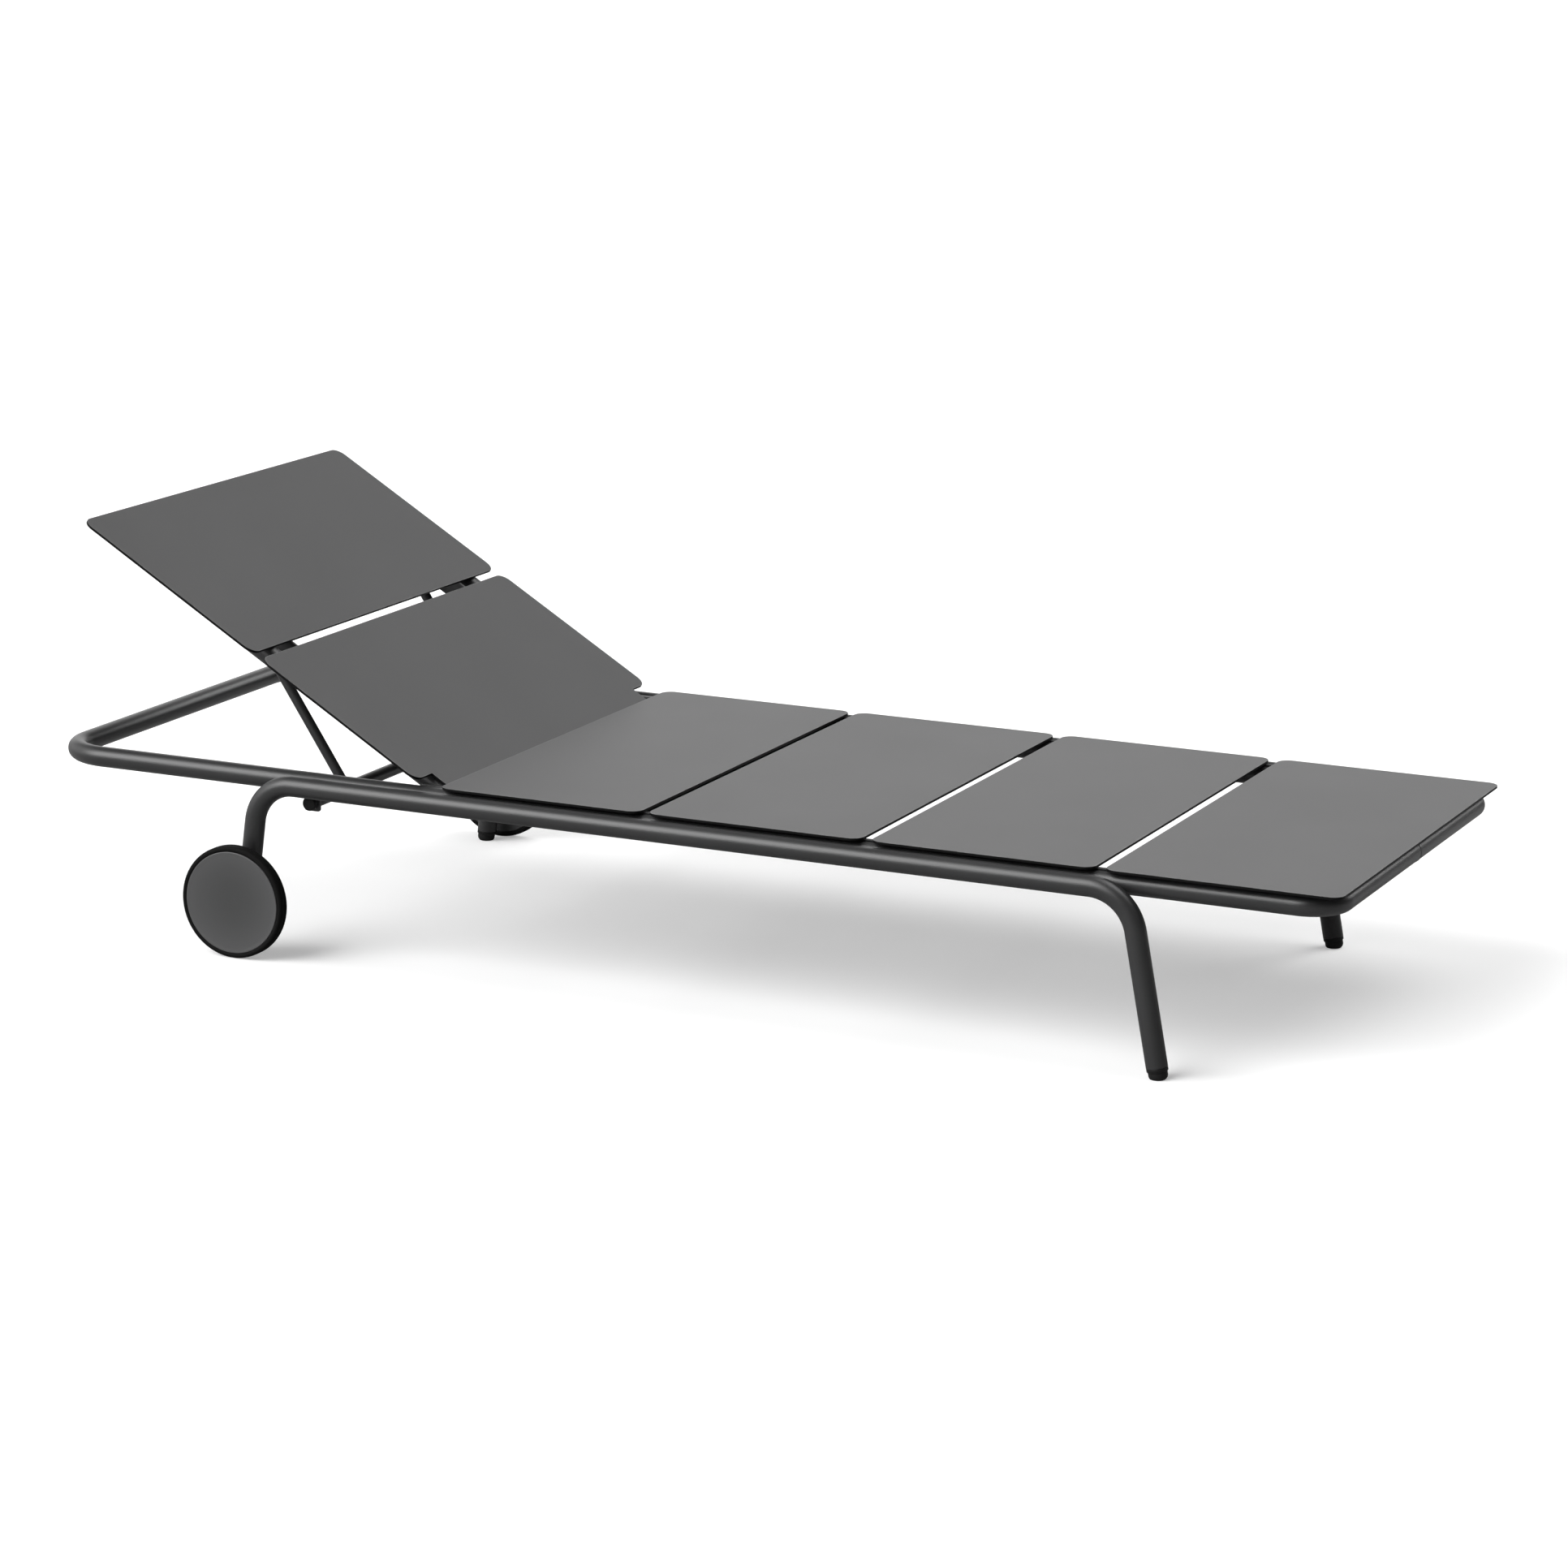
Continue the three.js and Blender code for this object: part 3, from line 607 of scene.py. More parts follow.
for name in ("left", "right"):
    low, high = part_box(f"leg_tube_{name}")
    y = (low[1] + high[1]) / 2
    top = high[2] - TUBE_RADIUS
    front = (high[0] - TUBE_RADIUS * math.cos(FRONT_LEAN), y,
             low[2] + TUBE_RADIUS * math.sin(FRONT_LEAN))
    rear = (low[0] + TUBE_RADIUS * math.cos(REAR_LEAN), y, front[2])
    front_top = (front[0] - (top - front[2]) * math.tan(FRONT_LEAN), y, top)
    rear_top = (rear[0] + (top - rear[2]) * math.tan(REAR_LEAN), y, top)
    leg = tube_mesh(f"leg_{name}", [front, front_top, rear_top, rear], TUBE_RADIUS,
                    [0.0, FRONT_BEND, REAR_BEND, 0.0])
    add_piece(f"leg_{name}", leg, shaded_tube_paint, "frame", [f"leg_tube_{name}"])
    print(f"leg_{name}: foot at x", round(front[0], 4), "wheel end at x", round(rear[0], 4))

# %% [markdown]
# ## Straight tubes
#
# The cross tubes, the back rest's side tubes and the prop's bars are straight lengths of
# tube. Each takes its ends and its thickness from its CAD node, measured along the body
# that it belongs to.

# %% Straight tubes


def straight_tube(node, body, matrix, axis, radius=None):
    """A straight tube through a CAD node's box, along one of its body's axes."""
    low, high = local_box(node, matrix)
    middle = (low + high) / 2
    across = [i for i in range(3) if i != axis]
    radius = radius or max(high[i] - low[i] for i in across) / 2
    ends = []
    for value in (low[axis], high[axis]):
        point = middle.copy()
        point[axis] = value
        ends.append(point)
    mesh = tube_mesh(f"{node}_smooth", ends, radius, matrix=matrix)
    add_piece(f"{node}_smooth", mesh, shaded_tube_paint, body, [node])
    return middle, radius


for place in ("foot", "middle", "hinge"):
    straight_tube(f"seat_cross_tube_{place}", "frame", WORLD, 1)
for name in ("left", "right"):
    straight_tube(f"back_side_tube_{name}", "back_rest", BACK, 0, TUBE_RADIUS)
for place in ("lower", "upper"):
    straight_tube(f"back_cross_tube_{place}", "back_rest", BACK, 1)
_, bar_radius = straight_tube("prop_turning_bar", "prop", PROP, 1)
rod_middle, rod_radius = straight_tube("prop_rack_rod", "prop", PROP, 1)
for name in ("left", "right"):
    straight_tube(f"prop_strut_{name}", "prop", PROP, 0)
print("turning bar", round(bar_radius * 2000, 1), "mm, rod", round(rod_radius * 2000, 1), "mm")

# %% [markdown]
# ## Flat panels
#
# The panels are cut from sheet, their corners are rounded and their edges are eased so
# that they don't cut a hand. The eased edge catches the light as a thin bright line, and
# its top half is marked for patchy wear and a painted highlight along that line. The outline
# is drawn with arcs, given its thickness, and bevelled. The cut face and the bevel under it
# are marked too and painted nearly black with a weak shine, as painted shade for the sides
# that face away from the light.

# %% Panel maker
SHEET_EDGE = 0.0007
EDGE_BAND = 0.0012
SHEET_CORNER = 0.018
CORNER_STEPS = 14
# how far up or down a face may look and still get the painted shade, from -1 down to 1 up
SHADE_LOOKS_DOWN, SHADE_LOOKS_UP = -0.98, 0.45


def outline_points(corners):
    """Points round an outline. Each corner is (x, y, radius) and is rounded by an arc."""
    points = []
    count = len(corners)
    for i, (x, y, radius) in enumerate(corners):
        here = Vector((x, y))
        before = Vector(corners[i - 1][:2]) - here
        after = Vector(corners[(i + 1) % count][:2]) - here
        if radius <= 0:
            points.append(here)
            continue
        before.normalize()
        after.normalize()
        centre = here + (before + after) * radius
        start = here + before * radius - centre
        finish = here + after * radius - centre
        sweep = start.angle_signed(finish)
        for step in range(CORNER_STEPS + 1):
            turn = Matrix.Rotation(-sweep * step / CORNER_STEPS, 2)
            points.append(centre + turn @ start)
    return points


def panel_mesh(name, corners, z_low, z_high, matrix):
    """A flat sheet with eased edges. Its top rim is marked in the edge attribute for wear and a
    painted highlight, and its side faces for painted shade.
    """
    builder = bmesh.new()
    points = outline_points(corners)
    base = builder.faces.new([builder.verts.new((p.x, p.y, z_low)) for p in points])
    grown_part = bmesh.ops.extrude_face_region(builder, geom=[base])["geom"]
    for vertex in [g for g in grown_part if isinstance(g, bmesh.types.BMVert)]:
        vertex.co.z = z_high
    bmesh.ops.recalc_face_normals(builder, faces=builder.faces)
    rims = [e for e in builder.edges
            if len(e.link_faces) == 2 and max(len(f.verts) for f in e.link_faces) > 4
            and min(len(f.verts) for f in e.link_faces) == 4]
    bmesh.ops.bevel(builder, geom=rims, offset=SHEET_EDGE, segments=3, profile=0.6,
                    affect="EDGES", clamp_overlap=True)
    mark = builder.verts.layers.float.new("edge")
    # only the top half of the rim is marked, so its lighter colour is a painted highlight on the
    # edge that faces the light, as well as wear
    for vertex in builder.verts:
        vertex[mark] = 1.0 if vertex.co.z > (z_low + z_high) / 2 else 0.0
    for face in [f for f in builder.faces if len(f.verts) > 4]:
        bmesh.ops.inset_region(builder, faces=[face], thickness=EDGE_BAND)
        for vertex in face.verts:
            vertex[mark] = 0.0
    # painted shade: faces that look sideways or a little down are marked to be painted nearly
    # black
    painted_shade_face = builder.faces.layers.float.new("painted_shade_face")
    for face in builder.faces:
        face[painted_shade_face] = 1.0 if SHADE_LOOKS_DOWN < face.normal.z < SHADE_LOOKS_UP else 0.0
    builder.transform(matrix)
    return mesh_from(builder, name)


def rounded_rectangle(low, high):
    """The four corners of a plain sheet, in order, each with the same radius."""
    return [(low[0], low[1], SHEET_CORNER), (high[0], low[1], SHEET_CORNER),
            (high[0], high[1], SHEET_CORNER), (low[0], high[1], SHEET_CORNER)]


for number in (1, 2, 3, 4):
    low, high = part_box(f"seat_panel_{number}")
    sheet = panel_mesh(f"seat_sheet_{number}", rounded_rectangle(low, high), low[2], high[2],
                       WORLD)
    add_piece(f"seat_sheet_{number}", sheet, panel_paint, "frame",
              [f"seat_panel_{number}"])
    print(f"seat_sheet_{number}:", round(high[0] - low[0], 4), "m long")

# %% [markdown]
# ## Back panels
#
# The lower back panel narrows to a tab next to the hinge, so that it can dip between the
# two rails when the back rest turns. Its two notched corners show at the crease. The
# head panel is a plain sheet.

# %% Back panels
NOTCH_END = 0.021
TAB_HALF_WIDTH = 0.324
TAB_CORNER = 0.003

low, high = local_box("back_panel_lower", BACK)
lower_corners = [
    (low.x, low.y, SHEET_CORNER), (-NOTCH_END, low.y, SHEET_CORNER),
    (-NOTCH_END, -TAB_HALF_WIDTH, 0), (high.x, -TAB_HALF_WIDTH, TAB_CORNER),
    (high.x, TAB_HALF_WIDTH, TAB_CORNER), (-NOTCH_END, TAB_HALF_WIDTH, 0),
    (-NOTCH_END, high.y, SHEET_CORNER), (low.x, high.y, SHEET_CORNER)]
lower_back = panel_mesh("back_sheet_lower", lower_corners, low.z, high.z, BACK)
add_piece("back_sheet_lower", lower_back, panel_paint, "back_rest",
          ["back_panel_lower"])
low, high = local_box("back_panel_head", BACK)
head_sheet = panel_mesh("back_sheet_head", rounded_rectangle(low, high), low.z, high.z, BACK)
add_piece("back_sheet_head", head_sheet, panel_paint, "back_rest",
          ["back_panel_head"])
print("head sheet:", round(high.x - low.x, 4), "m long")

# %% [markdown]
# ## Turned and moulded parts
#
# Tyres, discs, bushes, caps, pins and bolts are all round about one axis. A profile is
# drawn as radius and distance along the axis, and spun round. `spun` does this for any
# axis, and a cap that stands on the ground is cut flat afterwards.

# %% Spinning helper


def spun(name, profile, matrix, sides=96, cut_floor=False):
    """A solid of revolution about the local Y axis, from (radius, along) points."""
    builder = bmesh.new()
    rings = []
    for radius, along in profile:
        if radius < 1e-7:
            rings.append([builder.verts.new((0, along, 0))])
            continue
        ring = []
        for step in range(sides):
            angle = 2 * math.pi * step / sides
            ring.append(builder.verts.new(
                (radius * math.cos(angle), along, radius * math.sin(angle))))
        rings.append(ring)
    for first, second in zip(rings, rings[1:]):
        for step in range(sides):
            follow = (step + 1) % sides
            corners = [first[step % len(first)], first[follow % len(first)],
                       second[follow % len(second)], second[step % len(second)]]
            unique = list(dict.fromkeys(corners))
            if len(unique) > 2:
                builder.faces.new(unique)
    builder.transform(matrix)
    if cut_floor:
        everything = [*builder.verts, *builder.edges, *builder.faces]
        cut = bmesh.ops.bisect_plane(builder, geom=everything, plane_co=(0, 0, 0),
                                     plane_no=(0, 0, -1), clear_outer=True)
        rim = [g for g in cut["geom_cut"] if isinstance(g, bmesh.types.BMEdge)]
        bmesh.ops.holes_fill(builder, edges=rim)
    return mesh_from(builder, name)


def arc(centre, radius, start, finish, steps):
    """Profile points round part of a circle; angles in degrees from the radius axis."""
    points = []
    for step in range(steps + 1):
        angle = math.radians(start + (finish - start) * step / steps)
        points.append((centre[0] + radius * math.cos(angle),
                       centre[1] + radius * math.sin(angle)))
    return points


print("spinning helper ready")

# %% [markdown]
# ## Wheels
#
# Each wheel is a tyre round two pressed discs. The outer disc is slightly dished and
# covers the axle end; its rolled rim stands up a little next to the tyre. Its colour is
# painted lighter towards the rim and darker in the middle, as painted shading of the dish.
# The tyre has rounded shoulders and a fine line where its mould parted.

# %% Wheels
SHOULDER = 0.0045
DISH = 0.0016
RIM = 0.0012
PLATE_SET_IN = 0.005
WHEEL_SIDES = 128
HARDWARE_SIDES = 48


def wheel_frame(name):
    """Middle of the wheel with local Y pointing out of the lounger."""
    sign = 1 if name == "left" else -1
    x, _, z = joints[f"wheel_{name}_spin"]["pos_m"]
    return Matrix.Translation((x, 0, z)) @ Matrix.Diagonal((1, sign, 1, 1))


def reach(node):
    """How near to the lounger's middle a node starts, and how far from it it ends."""
    low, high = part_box(node)
    return sorted((abs(low[1]), abs(high[1])))


def round_radius(node):
    low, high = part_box(node)
    return (high[2] - low[2]) / 2


for name in ("left", "right"):
    place = wheel_frame(name)
    body = f"wheel_{name}"
    near, far = reach(f"tyre_{name}")
    radius = round_radius(f"tyre_{name}")
    disc_radius = round_radius(f"wheel_disc_outer_{name}")
    middle = (near + far) / 2
    tyre = ([(disc_radius + 0.0004, near + 0.0008)]
            + arc((radius - SHOULDER, near + SHOULDER), SHOULDER, -90, 0, 8)
            + [(radius, middle - 0.0006), (radius - 0.0002, middle - 0.0003),
               (radius - 0.0002, middle + 0.0003), (radius, middle + 0.0006)]
            + arc((radius - SHOULDER, far - SHOULDER), SHOULDER, 0, 90, 8)
            + [(disc_radius + 0.0004, far - 0.0008), (disc_radius - 0.0015, far - 0.003),
               (disc_radius - 0.0015, near + 0.003), (disc_radius + 0.0004, near + 0.0008)])
    add_piece(f"{body}_tyre", spun(f"{body}_tyre", tyre, place, WHEEL_SIDES), rubber, body,
              [f"tyre_{name}"])
    near, far = reach(f"wheel_disc_outer_{name}")
    face = ([(0, far - DISH), (0.012, far - DISH * 0.98), (0.024, far - DISH * 0.93),
             (0.036, far - DISH * 0.83), (0.048, far - DISH * 0.67),
             (0.058, far - DISH * 0.45), (0.066, far - DISH * 0.22),
             (disc_radius - 2.4 * RIM, far - 0.0003)]
            + arc((disc_radius - RIM, far - RIM), RIM, 90, 0, 6)
            + [(disc_radius, near + 0.0004), (0.066, near), (0, near)])
    face_mesh = spun(f"{body}_face", face, place, WHEEL_SIDES)
    hub = place.translation
    # painted shading: the disc is marked lighter towards its rim and darker in the middle
    painted_rim_light = face_mesh.attributes.new("painted_rim_light", "FLOAT", "POINT")
    painted_rim_light.data.foreach_set("value", [
        min(1.0, math.hypot(v.co.x - hub.x, v.co.z - hub.z) / disc_radius) ** 2
        for v in face_mesh.vertices])
    add_piece(f"{body}_face", face_mesh, disc_paint, body,
              [f"wheel_disc_outer_{name}"])
    near, far = reach(f"wheel_disc_inner_{name}")
    disc_radius = round_radius(f"wheel_disc_inner_{name}")
    plate = near + PLATE_SET_IN
    inner = [(0.010, near), (0.0135, near), (0.014, near + 0.0005), (0.014, plate - 0.0012),
             (0.0155, plate), (0.058, plate + 0.0006), (disc_radius - 0.001, plate),
             (disc_radius, plate + 0.001), (disc_radius, plate + 0.0025),
             (0.014, plate + 0.0025), (0.014, far), (0.010, far), (0.010, near)]
    add_piece(f"{body}_back", spun(f"{body}_back", inner, place, WHEEL_SIDES), disc_paint,
              body, [f"wheel_disc_inner_{name}"])
    print(f"{body}: tyre", round(radius * 2000, 1), "mm across")

# %% Axle and bush
for name in ("left", "right"):
    place = wheel_frame(name)
    near, far = reach(f"wheel_bush_{name}")
    bush = [(0.0063, near), (0.0136, near), (0.014, near + 0.0004), (0.014, near + 0.0007),
            (0.0097, near + 0.0007), (0.0097, far), (0.0063, far), (0.0063, near)]
    add_piece(f"bush_{name}", spun(f"bush_{name}", bush, place, HARDWARE_SIDES), nylon,
              f"wheel_{name}", [f"wheel_bush_{name}"])
    near, far = reach(f"axle_bolt_{name}")
    bolt = [(0, near), (0.004, near + 0.0002), (0.0072, near + 0.0012),
            (0.0087, near + 0.0032), (0.009, near + 0.0054), (0.009, near + 0.0058),
            (0.006, near + 0.0058), (0.006, far - 0.0008), (0.0052, far), (0, far)]
    add_piece(f"axle_{name}", spun(f"axle_{name}", bolt, place, HARDWARE_SIDES), steel,
              "frame", [f"axle_bolt_{name}"])
    print(f"axle_{name}: bolt head at", round(near, 4), "m from the middle")
    near, far = reach(f"axle_spacer_{name}")
    ring = [(0.0063, near), (0.0106, near), (0.011, near + 0.0004), (0.011, far - 0.0004),
            (0.0106, far), (0.0063, far), (0.0063, near)]
    add_piece(f"spacer_{name}", spun(f"spacer_{name}", ring, place, HARDWARE_SIDES), nylon,
              "frame", [f"axle_spacer_{name}"])

# %% [markdown]
# ## Feet, plugs and end caps
#
# Black plastic plugs close the open tube ends. A foot cap has a collar as wide as the
# tube, a step, and a rounded foot that stands flat on the ground.

# %% Feet, plugs and end caps
TUBE_END_HEIGHT = 0.016
PLUG_DEPTH = 0.010
BAR_CAP_LENGTH = 0.0056


def axis_frame(origin, direction):
    """A frame whose local Y axis points along the given direction."""
    turn = Vector((0, 1, 0)).rotation_difference(Vector(direction).normalized())
    return Matrix.Translation(origin) @ turn.to_matrix().to_4x4()


def foot_cap(node, lean):
    low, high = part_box(node)
    leg_low, leg_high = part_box(f"leg_tube_{node.rsplit('_', 1)[1]}")
    y = (low[1] + high[1]) / 2
    if lean < 0:
        x = leg_high[0] - TUBE_RADIUS * math.cos(lean)
    else:
        x = leg_low[0] + TUBE_RADIUS * math.cos(lean)
    down = (-math.sin(lean), 0, -math.cos(lean))
    drop = TUBE_END_HEIGHT / math.cos(lean)
    cap = ([(0, -PLUG_DEPTH), (0.0124, -PLUG_DEPTH), (0.0124, 0.0004), (0.0144, 0.0004),
            (0.0148, 0.0009), (0.0148, 0.0048), (0.0144, 0.0054), (0.0134, 0.0058)]
           + arc((0.0054, drop - 0.0056), 0.0079, 0, 78, 10) + [(0, drop + 0.0028)])
    return spun(f"{node}_shaped", cap, axis_frame((x, y, TUBE_END_HEIGHT), down), 64,
                cut_floor=True)


for name in ("left", "right"):
    for end_name, lean in (("front", -FRONT_LEAN), ("rear", REAR_LEAN)):
        node = f"foot_cap_{end_name}_{name}"
        add_piece(f"{node}_shaped", foot_cap(node, lean), black_plastic, "frame",
                  [node])
    node = f"back_tube_plug_{name}"
    low, high = local_box(node, BACK)
    middle = (low + high) / 2
    seat_x = local_box(f"back_side_tube_{name}", BACK)[0].x
    plug = [(0, -PLUG_DEPTH), (0.0124, -PLUG_DEPTH), (0.0124, 0.0003), (0.0146, 0.0003),
            (0.0146, 0.0012), (0.0138, 0.0032), (0.0116, 0.0050), (0.0070, 0.0060),
            (0, 0.0062)]
    plug_frame = BACK @ axis_frame((seat_x, middle.y, middle.z), (-1, 0, 0))
    add_piece(f"{node}_shaped", spun(f"{node}_shaped", plug, plug_frame, HARDWARE_SIDES),
              black_plastic, "back_rest", [node])
    node = f"prop_bar_cap_{name}"
    sign = 1 if name == "left" else -1
    bar_end = reach(node)[1] - BAR_CAP_LENGTH
    cap = [(0, -PLUG_DEPTH), (0.0070, -PLUG_DEPTH), (0.0070, 0.0003), (0.0102, 0.0003),
           (0.0105, 0.0007), (0.0105, 0.0030), (0.0094, 0.0046), (0.0068, 0.0054),
           (0, BAR_CAP_LENGTH)]
    cap_frame = PROP @ axis_frame((0, sign * bar_end, 0), (0, sign, 0))
    add_piece(f"{node}_shaped", spun(f"{node}_shaped", cap, cap_frame, HARDWARE_SIDES),
              black_plastic, "prop", [node])
print("feet, plugs and caps made")

# %% [markdown]
# ## Cut plates and small hardware
#
# Brackets, racks, hangers and nuts already have the right outline in the CAD model. Each
# is copied, its loose triangles are joined back into whole faces, and its edges are eased
# with a small bevel.

# %% Eased plates
PLATE_EDGE = 0.0004
CRISP_ANGLE = math.radians(28)


def eased_copy(node):
    """A copy of a CAD node with whole faces and small bevels on its sharp edges."""
    builder = bmesh.new()
    builder.from_mesh(frame["nodes"][node].data)
    bmesh.ops.remove_doubles(builder, verts=builder.verts, dist=1e-5)
    bmesh.ops.dissolve_limit(builder, angle_limit=math.radians(1.0),
                             verts=builder.verts, edges=builder.edges)
    crisp = [e for e in builder.edges
             if len(e.link_faces) == 2 and e.calc_face_angle() > CRISP_ANGLE]
    mark = builder.verts.layers.float.new("edge")
    bevelled = bmesh.ops.bevel(builder, geom=crisp, offset=PLATE_EDGE, segments=2,
                               profile=0.6, affect="EDGES", clamp_overlap=True)
    for vertex in bevelled["verts"]:
        vertex[mark] = 1.0
    return mesh_from(builder, f"{node}_eased")


plates = [("hinge_bracket", shaded_tube_paint, "frame", "tube_coat"),
          ("prop_hanger", shaded_tube_paint, "frame", "tube_coat"),
          ("recline_rack", shaded_tube_paint, "back_rest", "tube_coat"),
          ("hinge_washer", nylon, "back_rest", "nylon"),
          ("hinge_pin", steel, "frame", "steel"),
          ("axle_nut", steel, "frame", "steel"),
          ("rail_strip", nylon, "frame", "nylon")]
for stem, material, body, slot_name in plates:
    for name in ("left", "right"):
        node = f"{stem}_{name}"
        mesh = eased_copy(node)
        add_piece(f"{node}_eased", mesh, material, body, [node])
    print(stem, "eased,", len(mesh.polygons), "faces each")

# %% [markdown]
# ## Weld beads
#
# Where two tubes meet, a welder lays one small puddle of metal on the last, so a bead is
# a row of overlapping scales. Geometry Nodes follow a path, put a small ball of slightly
# random size at every step and turn it along the path. All the beads on one body become one
# piece.

# %% Weld tree


def weld_tree():
    tree = bpy.data.node_groups.new("weld bead", "GeometryNodeTree")
    tree.interface.new_socket("Geometry", in_out="OUTPUT", socket_type="NodeSocketGeometry")
    ids = {
        "Path": tree_input(tree, "Path", "NodeSocketGeometry"),
        "Bead Width": tree_input(tree, "Bead Width", "NodeSocketFloat", 0.004),
        "Step": tree_input(tree, "Step", "NodeSocketFloat", 0.0014),
        "Unevenness": tree_input(tree, "Unevenness", "NodeSocketFloat", 0.12),
        "Finish": tree_input(tree, "Finish", "NodeSocketMaterial"),
    }
    start = tree.nodes.new("NodeGroupInput").outputs
    end = tree.nodes.new("NodeGroupOutput").inputs
    path = tree.nodes.new("GeometryNodeMeshToCurve")
    spaced = tree.nodes.new("GeometryNodeCurveToPoints")
    spaced.mode = "LENGTH"
    scale_of_bead = tree.nodes.new("GeometryNodeMeshUVSphere")
    scale_of_bead.inputs["Segments"].default_value = 10
    scale_of_bead.inputs["Rings"].default_value = 6
    scale_of_bead.inputs["Radius"].default_value = 0.5
    copies = tree.nodes.new("GeometryNodeInstanceOnPoints")
    chance = tree.nodes.new("FunctionNodeRandomValue")
    chance.inputs["Seed"].default_value = 7
    near_one = tree.nodes.new("ShaderNodeMath")
    near_one.operation = "MULTIPLY_ADD"
    spread = tree.nodes.new("ShaderNodeMath")
    spread.operation = "MULTIPLY"
    realize = tree.nodes.new("GeometryNodeRealizeInstances")
    smooth = tree.nodes.new("GeometryNodeSetShadeSmooth")
    finish = tree.nodes.new("GeometryNodeSetMaterial")
    for out, into in (
            (start["Path"], path.inputs["Mesh"]),
            (path.outputs["Curve"], spaced.inputs["Curve"]),
            (start["Step"], spaced.inputs["Length"]),
            (spaced.outputs["Points"], copies.inputs["Points"]),
            (spaced.outputs["Rotation"], copies.inputs["Rotation"]),
            (scale_of_bead.outputs["Mesh"], copies.inputs["Instance"]),
            (chance.outputs[1], spread.inputs[0]),
            (start["Unevenness"], spread.inputs[1]),
            (spread.outputs[0], near_one.inputs[0]),
            (start["Bead Width"], near_one.inputs[1]),
            (start["Bead Width"], near_one.inputs[2]),
            (near_one.outputs[0], copies.inputs["Scale"]),
            (copies.outputs["Instances"], smooth.inputs["Geometry"]),
            (smooth.outputs["Geometry"], realize.inputs["Geometry"]),
            (realize.outputs["Geometry"], finish.inputs["Geometry"]),
            (start["Finish"], finish.inputs["Material"]),
            (finish.outputs["Geometry"], end["Geometry"])):
        tree.links.new(out, into)
    return tree, ids


WELD_TREE, WELD_IDS = weld_tree()
print("weld bead inputs:", list(WELD_IDS))

# %% Weld paths
SADDLE_STEPS = 36
RING_STEPS = 24
# the share of the bar's and of the rod's radius at which a strut's end ring lies
BAR_END_SHARE, ROD_END_SHARE = 0.93, 0.75
ROD_RING_INSET = 0.0016
SEAM_INSET = 0.0012


def saddle(centre, radius, side, tube_y, tube_z, matrix):
    """The line where a crosswise tube meets the flank of a lengthwise frame tube."""
    points = []
    for step in range(SADDLE_STEPS):
        angle = 2 * math.pi * step / SADDLE_STEPS
        x = centre.x + radius * math.cos(angle)
        z = centre.z + radius * math.sin(angle)
        off = min(abs(z - tube_z), TUBE_RADIUS * 0.98)
        y = tube_y - math.sqrt(TUBE_RADIUS ** 2 - off ** 2)
        points.append(matrix @ Vector((x, side * y, z)))
    return points


def ring_path(centre, normal_axis, radius, matrix):
    """A round weld about a tube, square to the given axis."""
    points = []
    for step in range(RING_STEPS):
        angle = 2 * math.pi * step / RING_STEPS
        offset = [radius * math.cos(angle), radius * math.sin(angle)]
        offset.insert(normal_axis, 0.0)
        points.append(matrix @ (Vector(centre) + Vector(offset)))
    return points


def joined_paths(loops, lines=()):
    """One mesh of edges that holds several closed loops and open lines."""
    builder = bmesh.new()
    for points, closed in [(p, True) for p in loops] + [(p, False) for p in lines]:
        verts = [builder.verts.new(p) for p in points]
        for first, second in zip(verts, verts[1:]):
            builder.edges.new((first, second))
        if closed:
            builder.edges.new((verts[-1], verts[0]))
    mesh = bpy.data.meshes.new("weld paths")
    builder.to_mesh(mesh)
    builder.free()
    return mesh


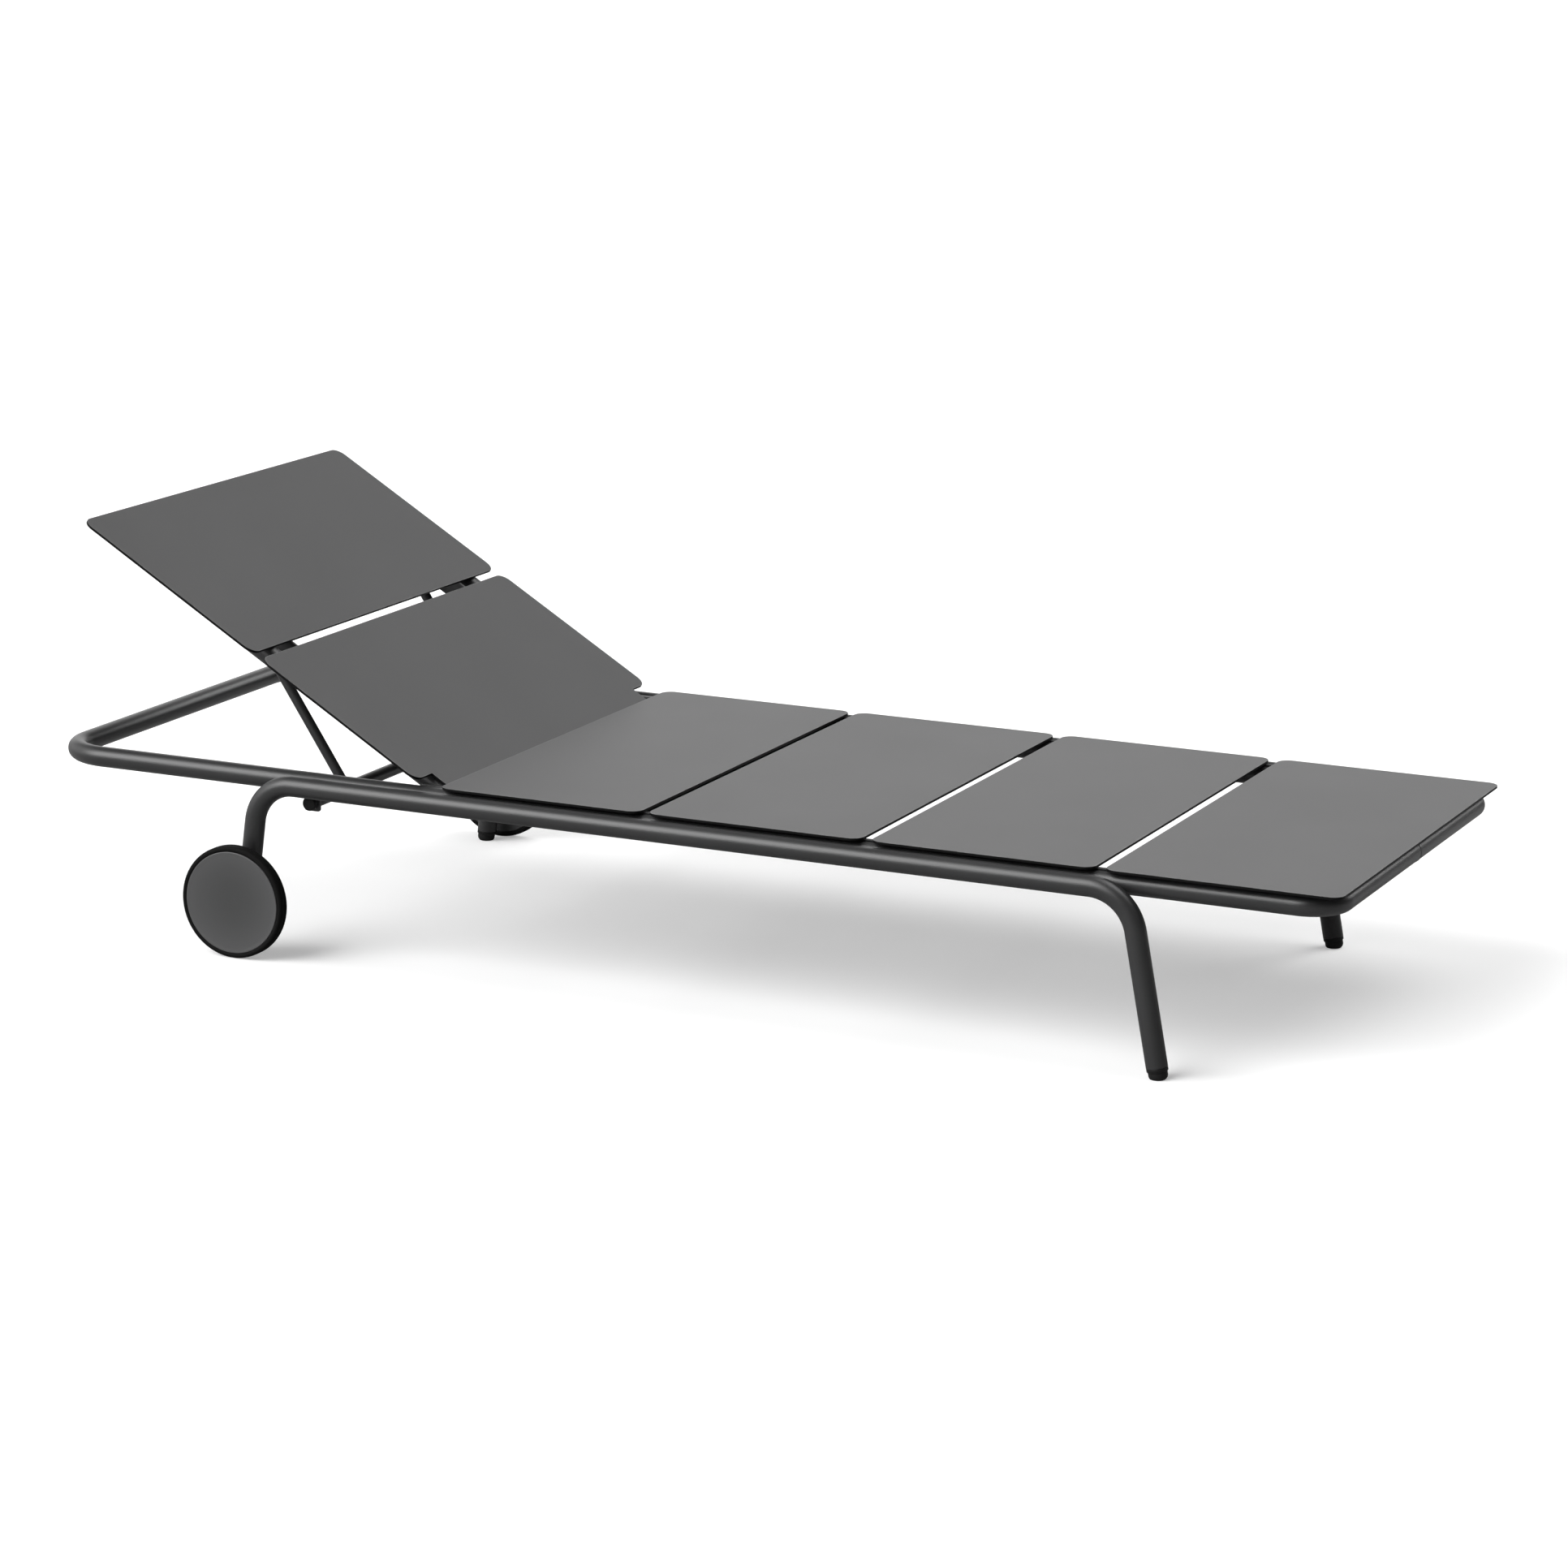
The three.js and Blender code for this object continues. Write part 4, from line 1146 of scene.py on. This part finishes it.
frame_welds, stitch_welds = [], []
for place in ("foot", "middle", "hinge"):
    low, high = local_box(f"seat_cross_tube_{place}", WORLD)
    for sign in (1, -1):
        frame_welds.append(saddle((low + high) / 2, (high.z - low.z) / 2, sign, rail_y,
                                  rail_z, WORLD))
leg_y = (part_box("leg_tube_left")[0][1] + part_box("leg_tube_left")[1][1]) / 2
STITCH_LENGTH = 0.030
STITCH_STARTS = (0.56, 0.10, -0.25, -0.52)
STITCH_DROP = 0.0095
for x in STITCH_STARTS:
    for sign in (1, -1):
        stitch_welds.append([(x + STITCH_LENGTH * t, sign * (rail_y + leg_y) / 2,
                              rail_z - STITCH_DROP) for t in (0, 0.5, 1)])
back_welds = []
for place in ("lower", "upper"):
    low, high = local_box(f"back_cross_tube_{place}", BACK)
    tube_low, tube_high = local_box("back_side_tube_left", BACK)
    for sign in (1, -1):
        back_welds.append(saddle((low + high) / 2, (high.x - low.x) / 2, sign,
                                 (tube_low.y + tube_high.y) / 2,
                                 (tube_low.z + tube_high.z) / 2, BACK))
prop_welds = []
for name in ("left", "right"):
    low, high = local_box(f"prop_strut_{name}", PROP)
    y = (low.y + high.y) / 2
    strut_radius = (high.y - low.y) / 2
    prop_welds.append(ring_path((-bar_radius * BAR_END_SHARE, y, 0), 0, strut_radius, PROP))
    prop_welds.append(ring_path((rod_middle.x + rod_radius * ROD_END_SHARE, y, 0), 0,
                                strut_radius - ROD_RING_INSET, PROP))
loop_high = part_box("main_loop_tube")[1]
seam = ring_path((loop_high[0] - TUBE_RADIUS, 0.0, rail_z), 1, TUBE_RADIUS - SEAM_INSET,
                 WORLD)
for body, loops, lines in (("frame", frame_welds + [seam], stitch_welds),
                           ("back_rest", back_welds, []), ("prop", prop_welds, [])):
    beads = grown(WELD_TREE, WELD_IDS, joined_paths(loops, lines), f"welds_{body}",
                  Bead_Width=0.0036, Step=0.0015, Unevenness=0.15, Finish=shaded_tube_paint)
    add_piece(f"welds_{body}", beads, shaded_tube_paint, body)
    print(f"welds_{body}:", len(beads.polygons), "faces")
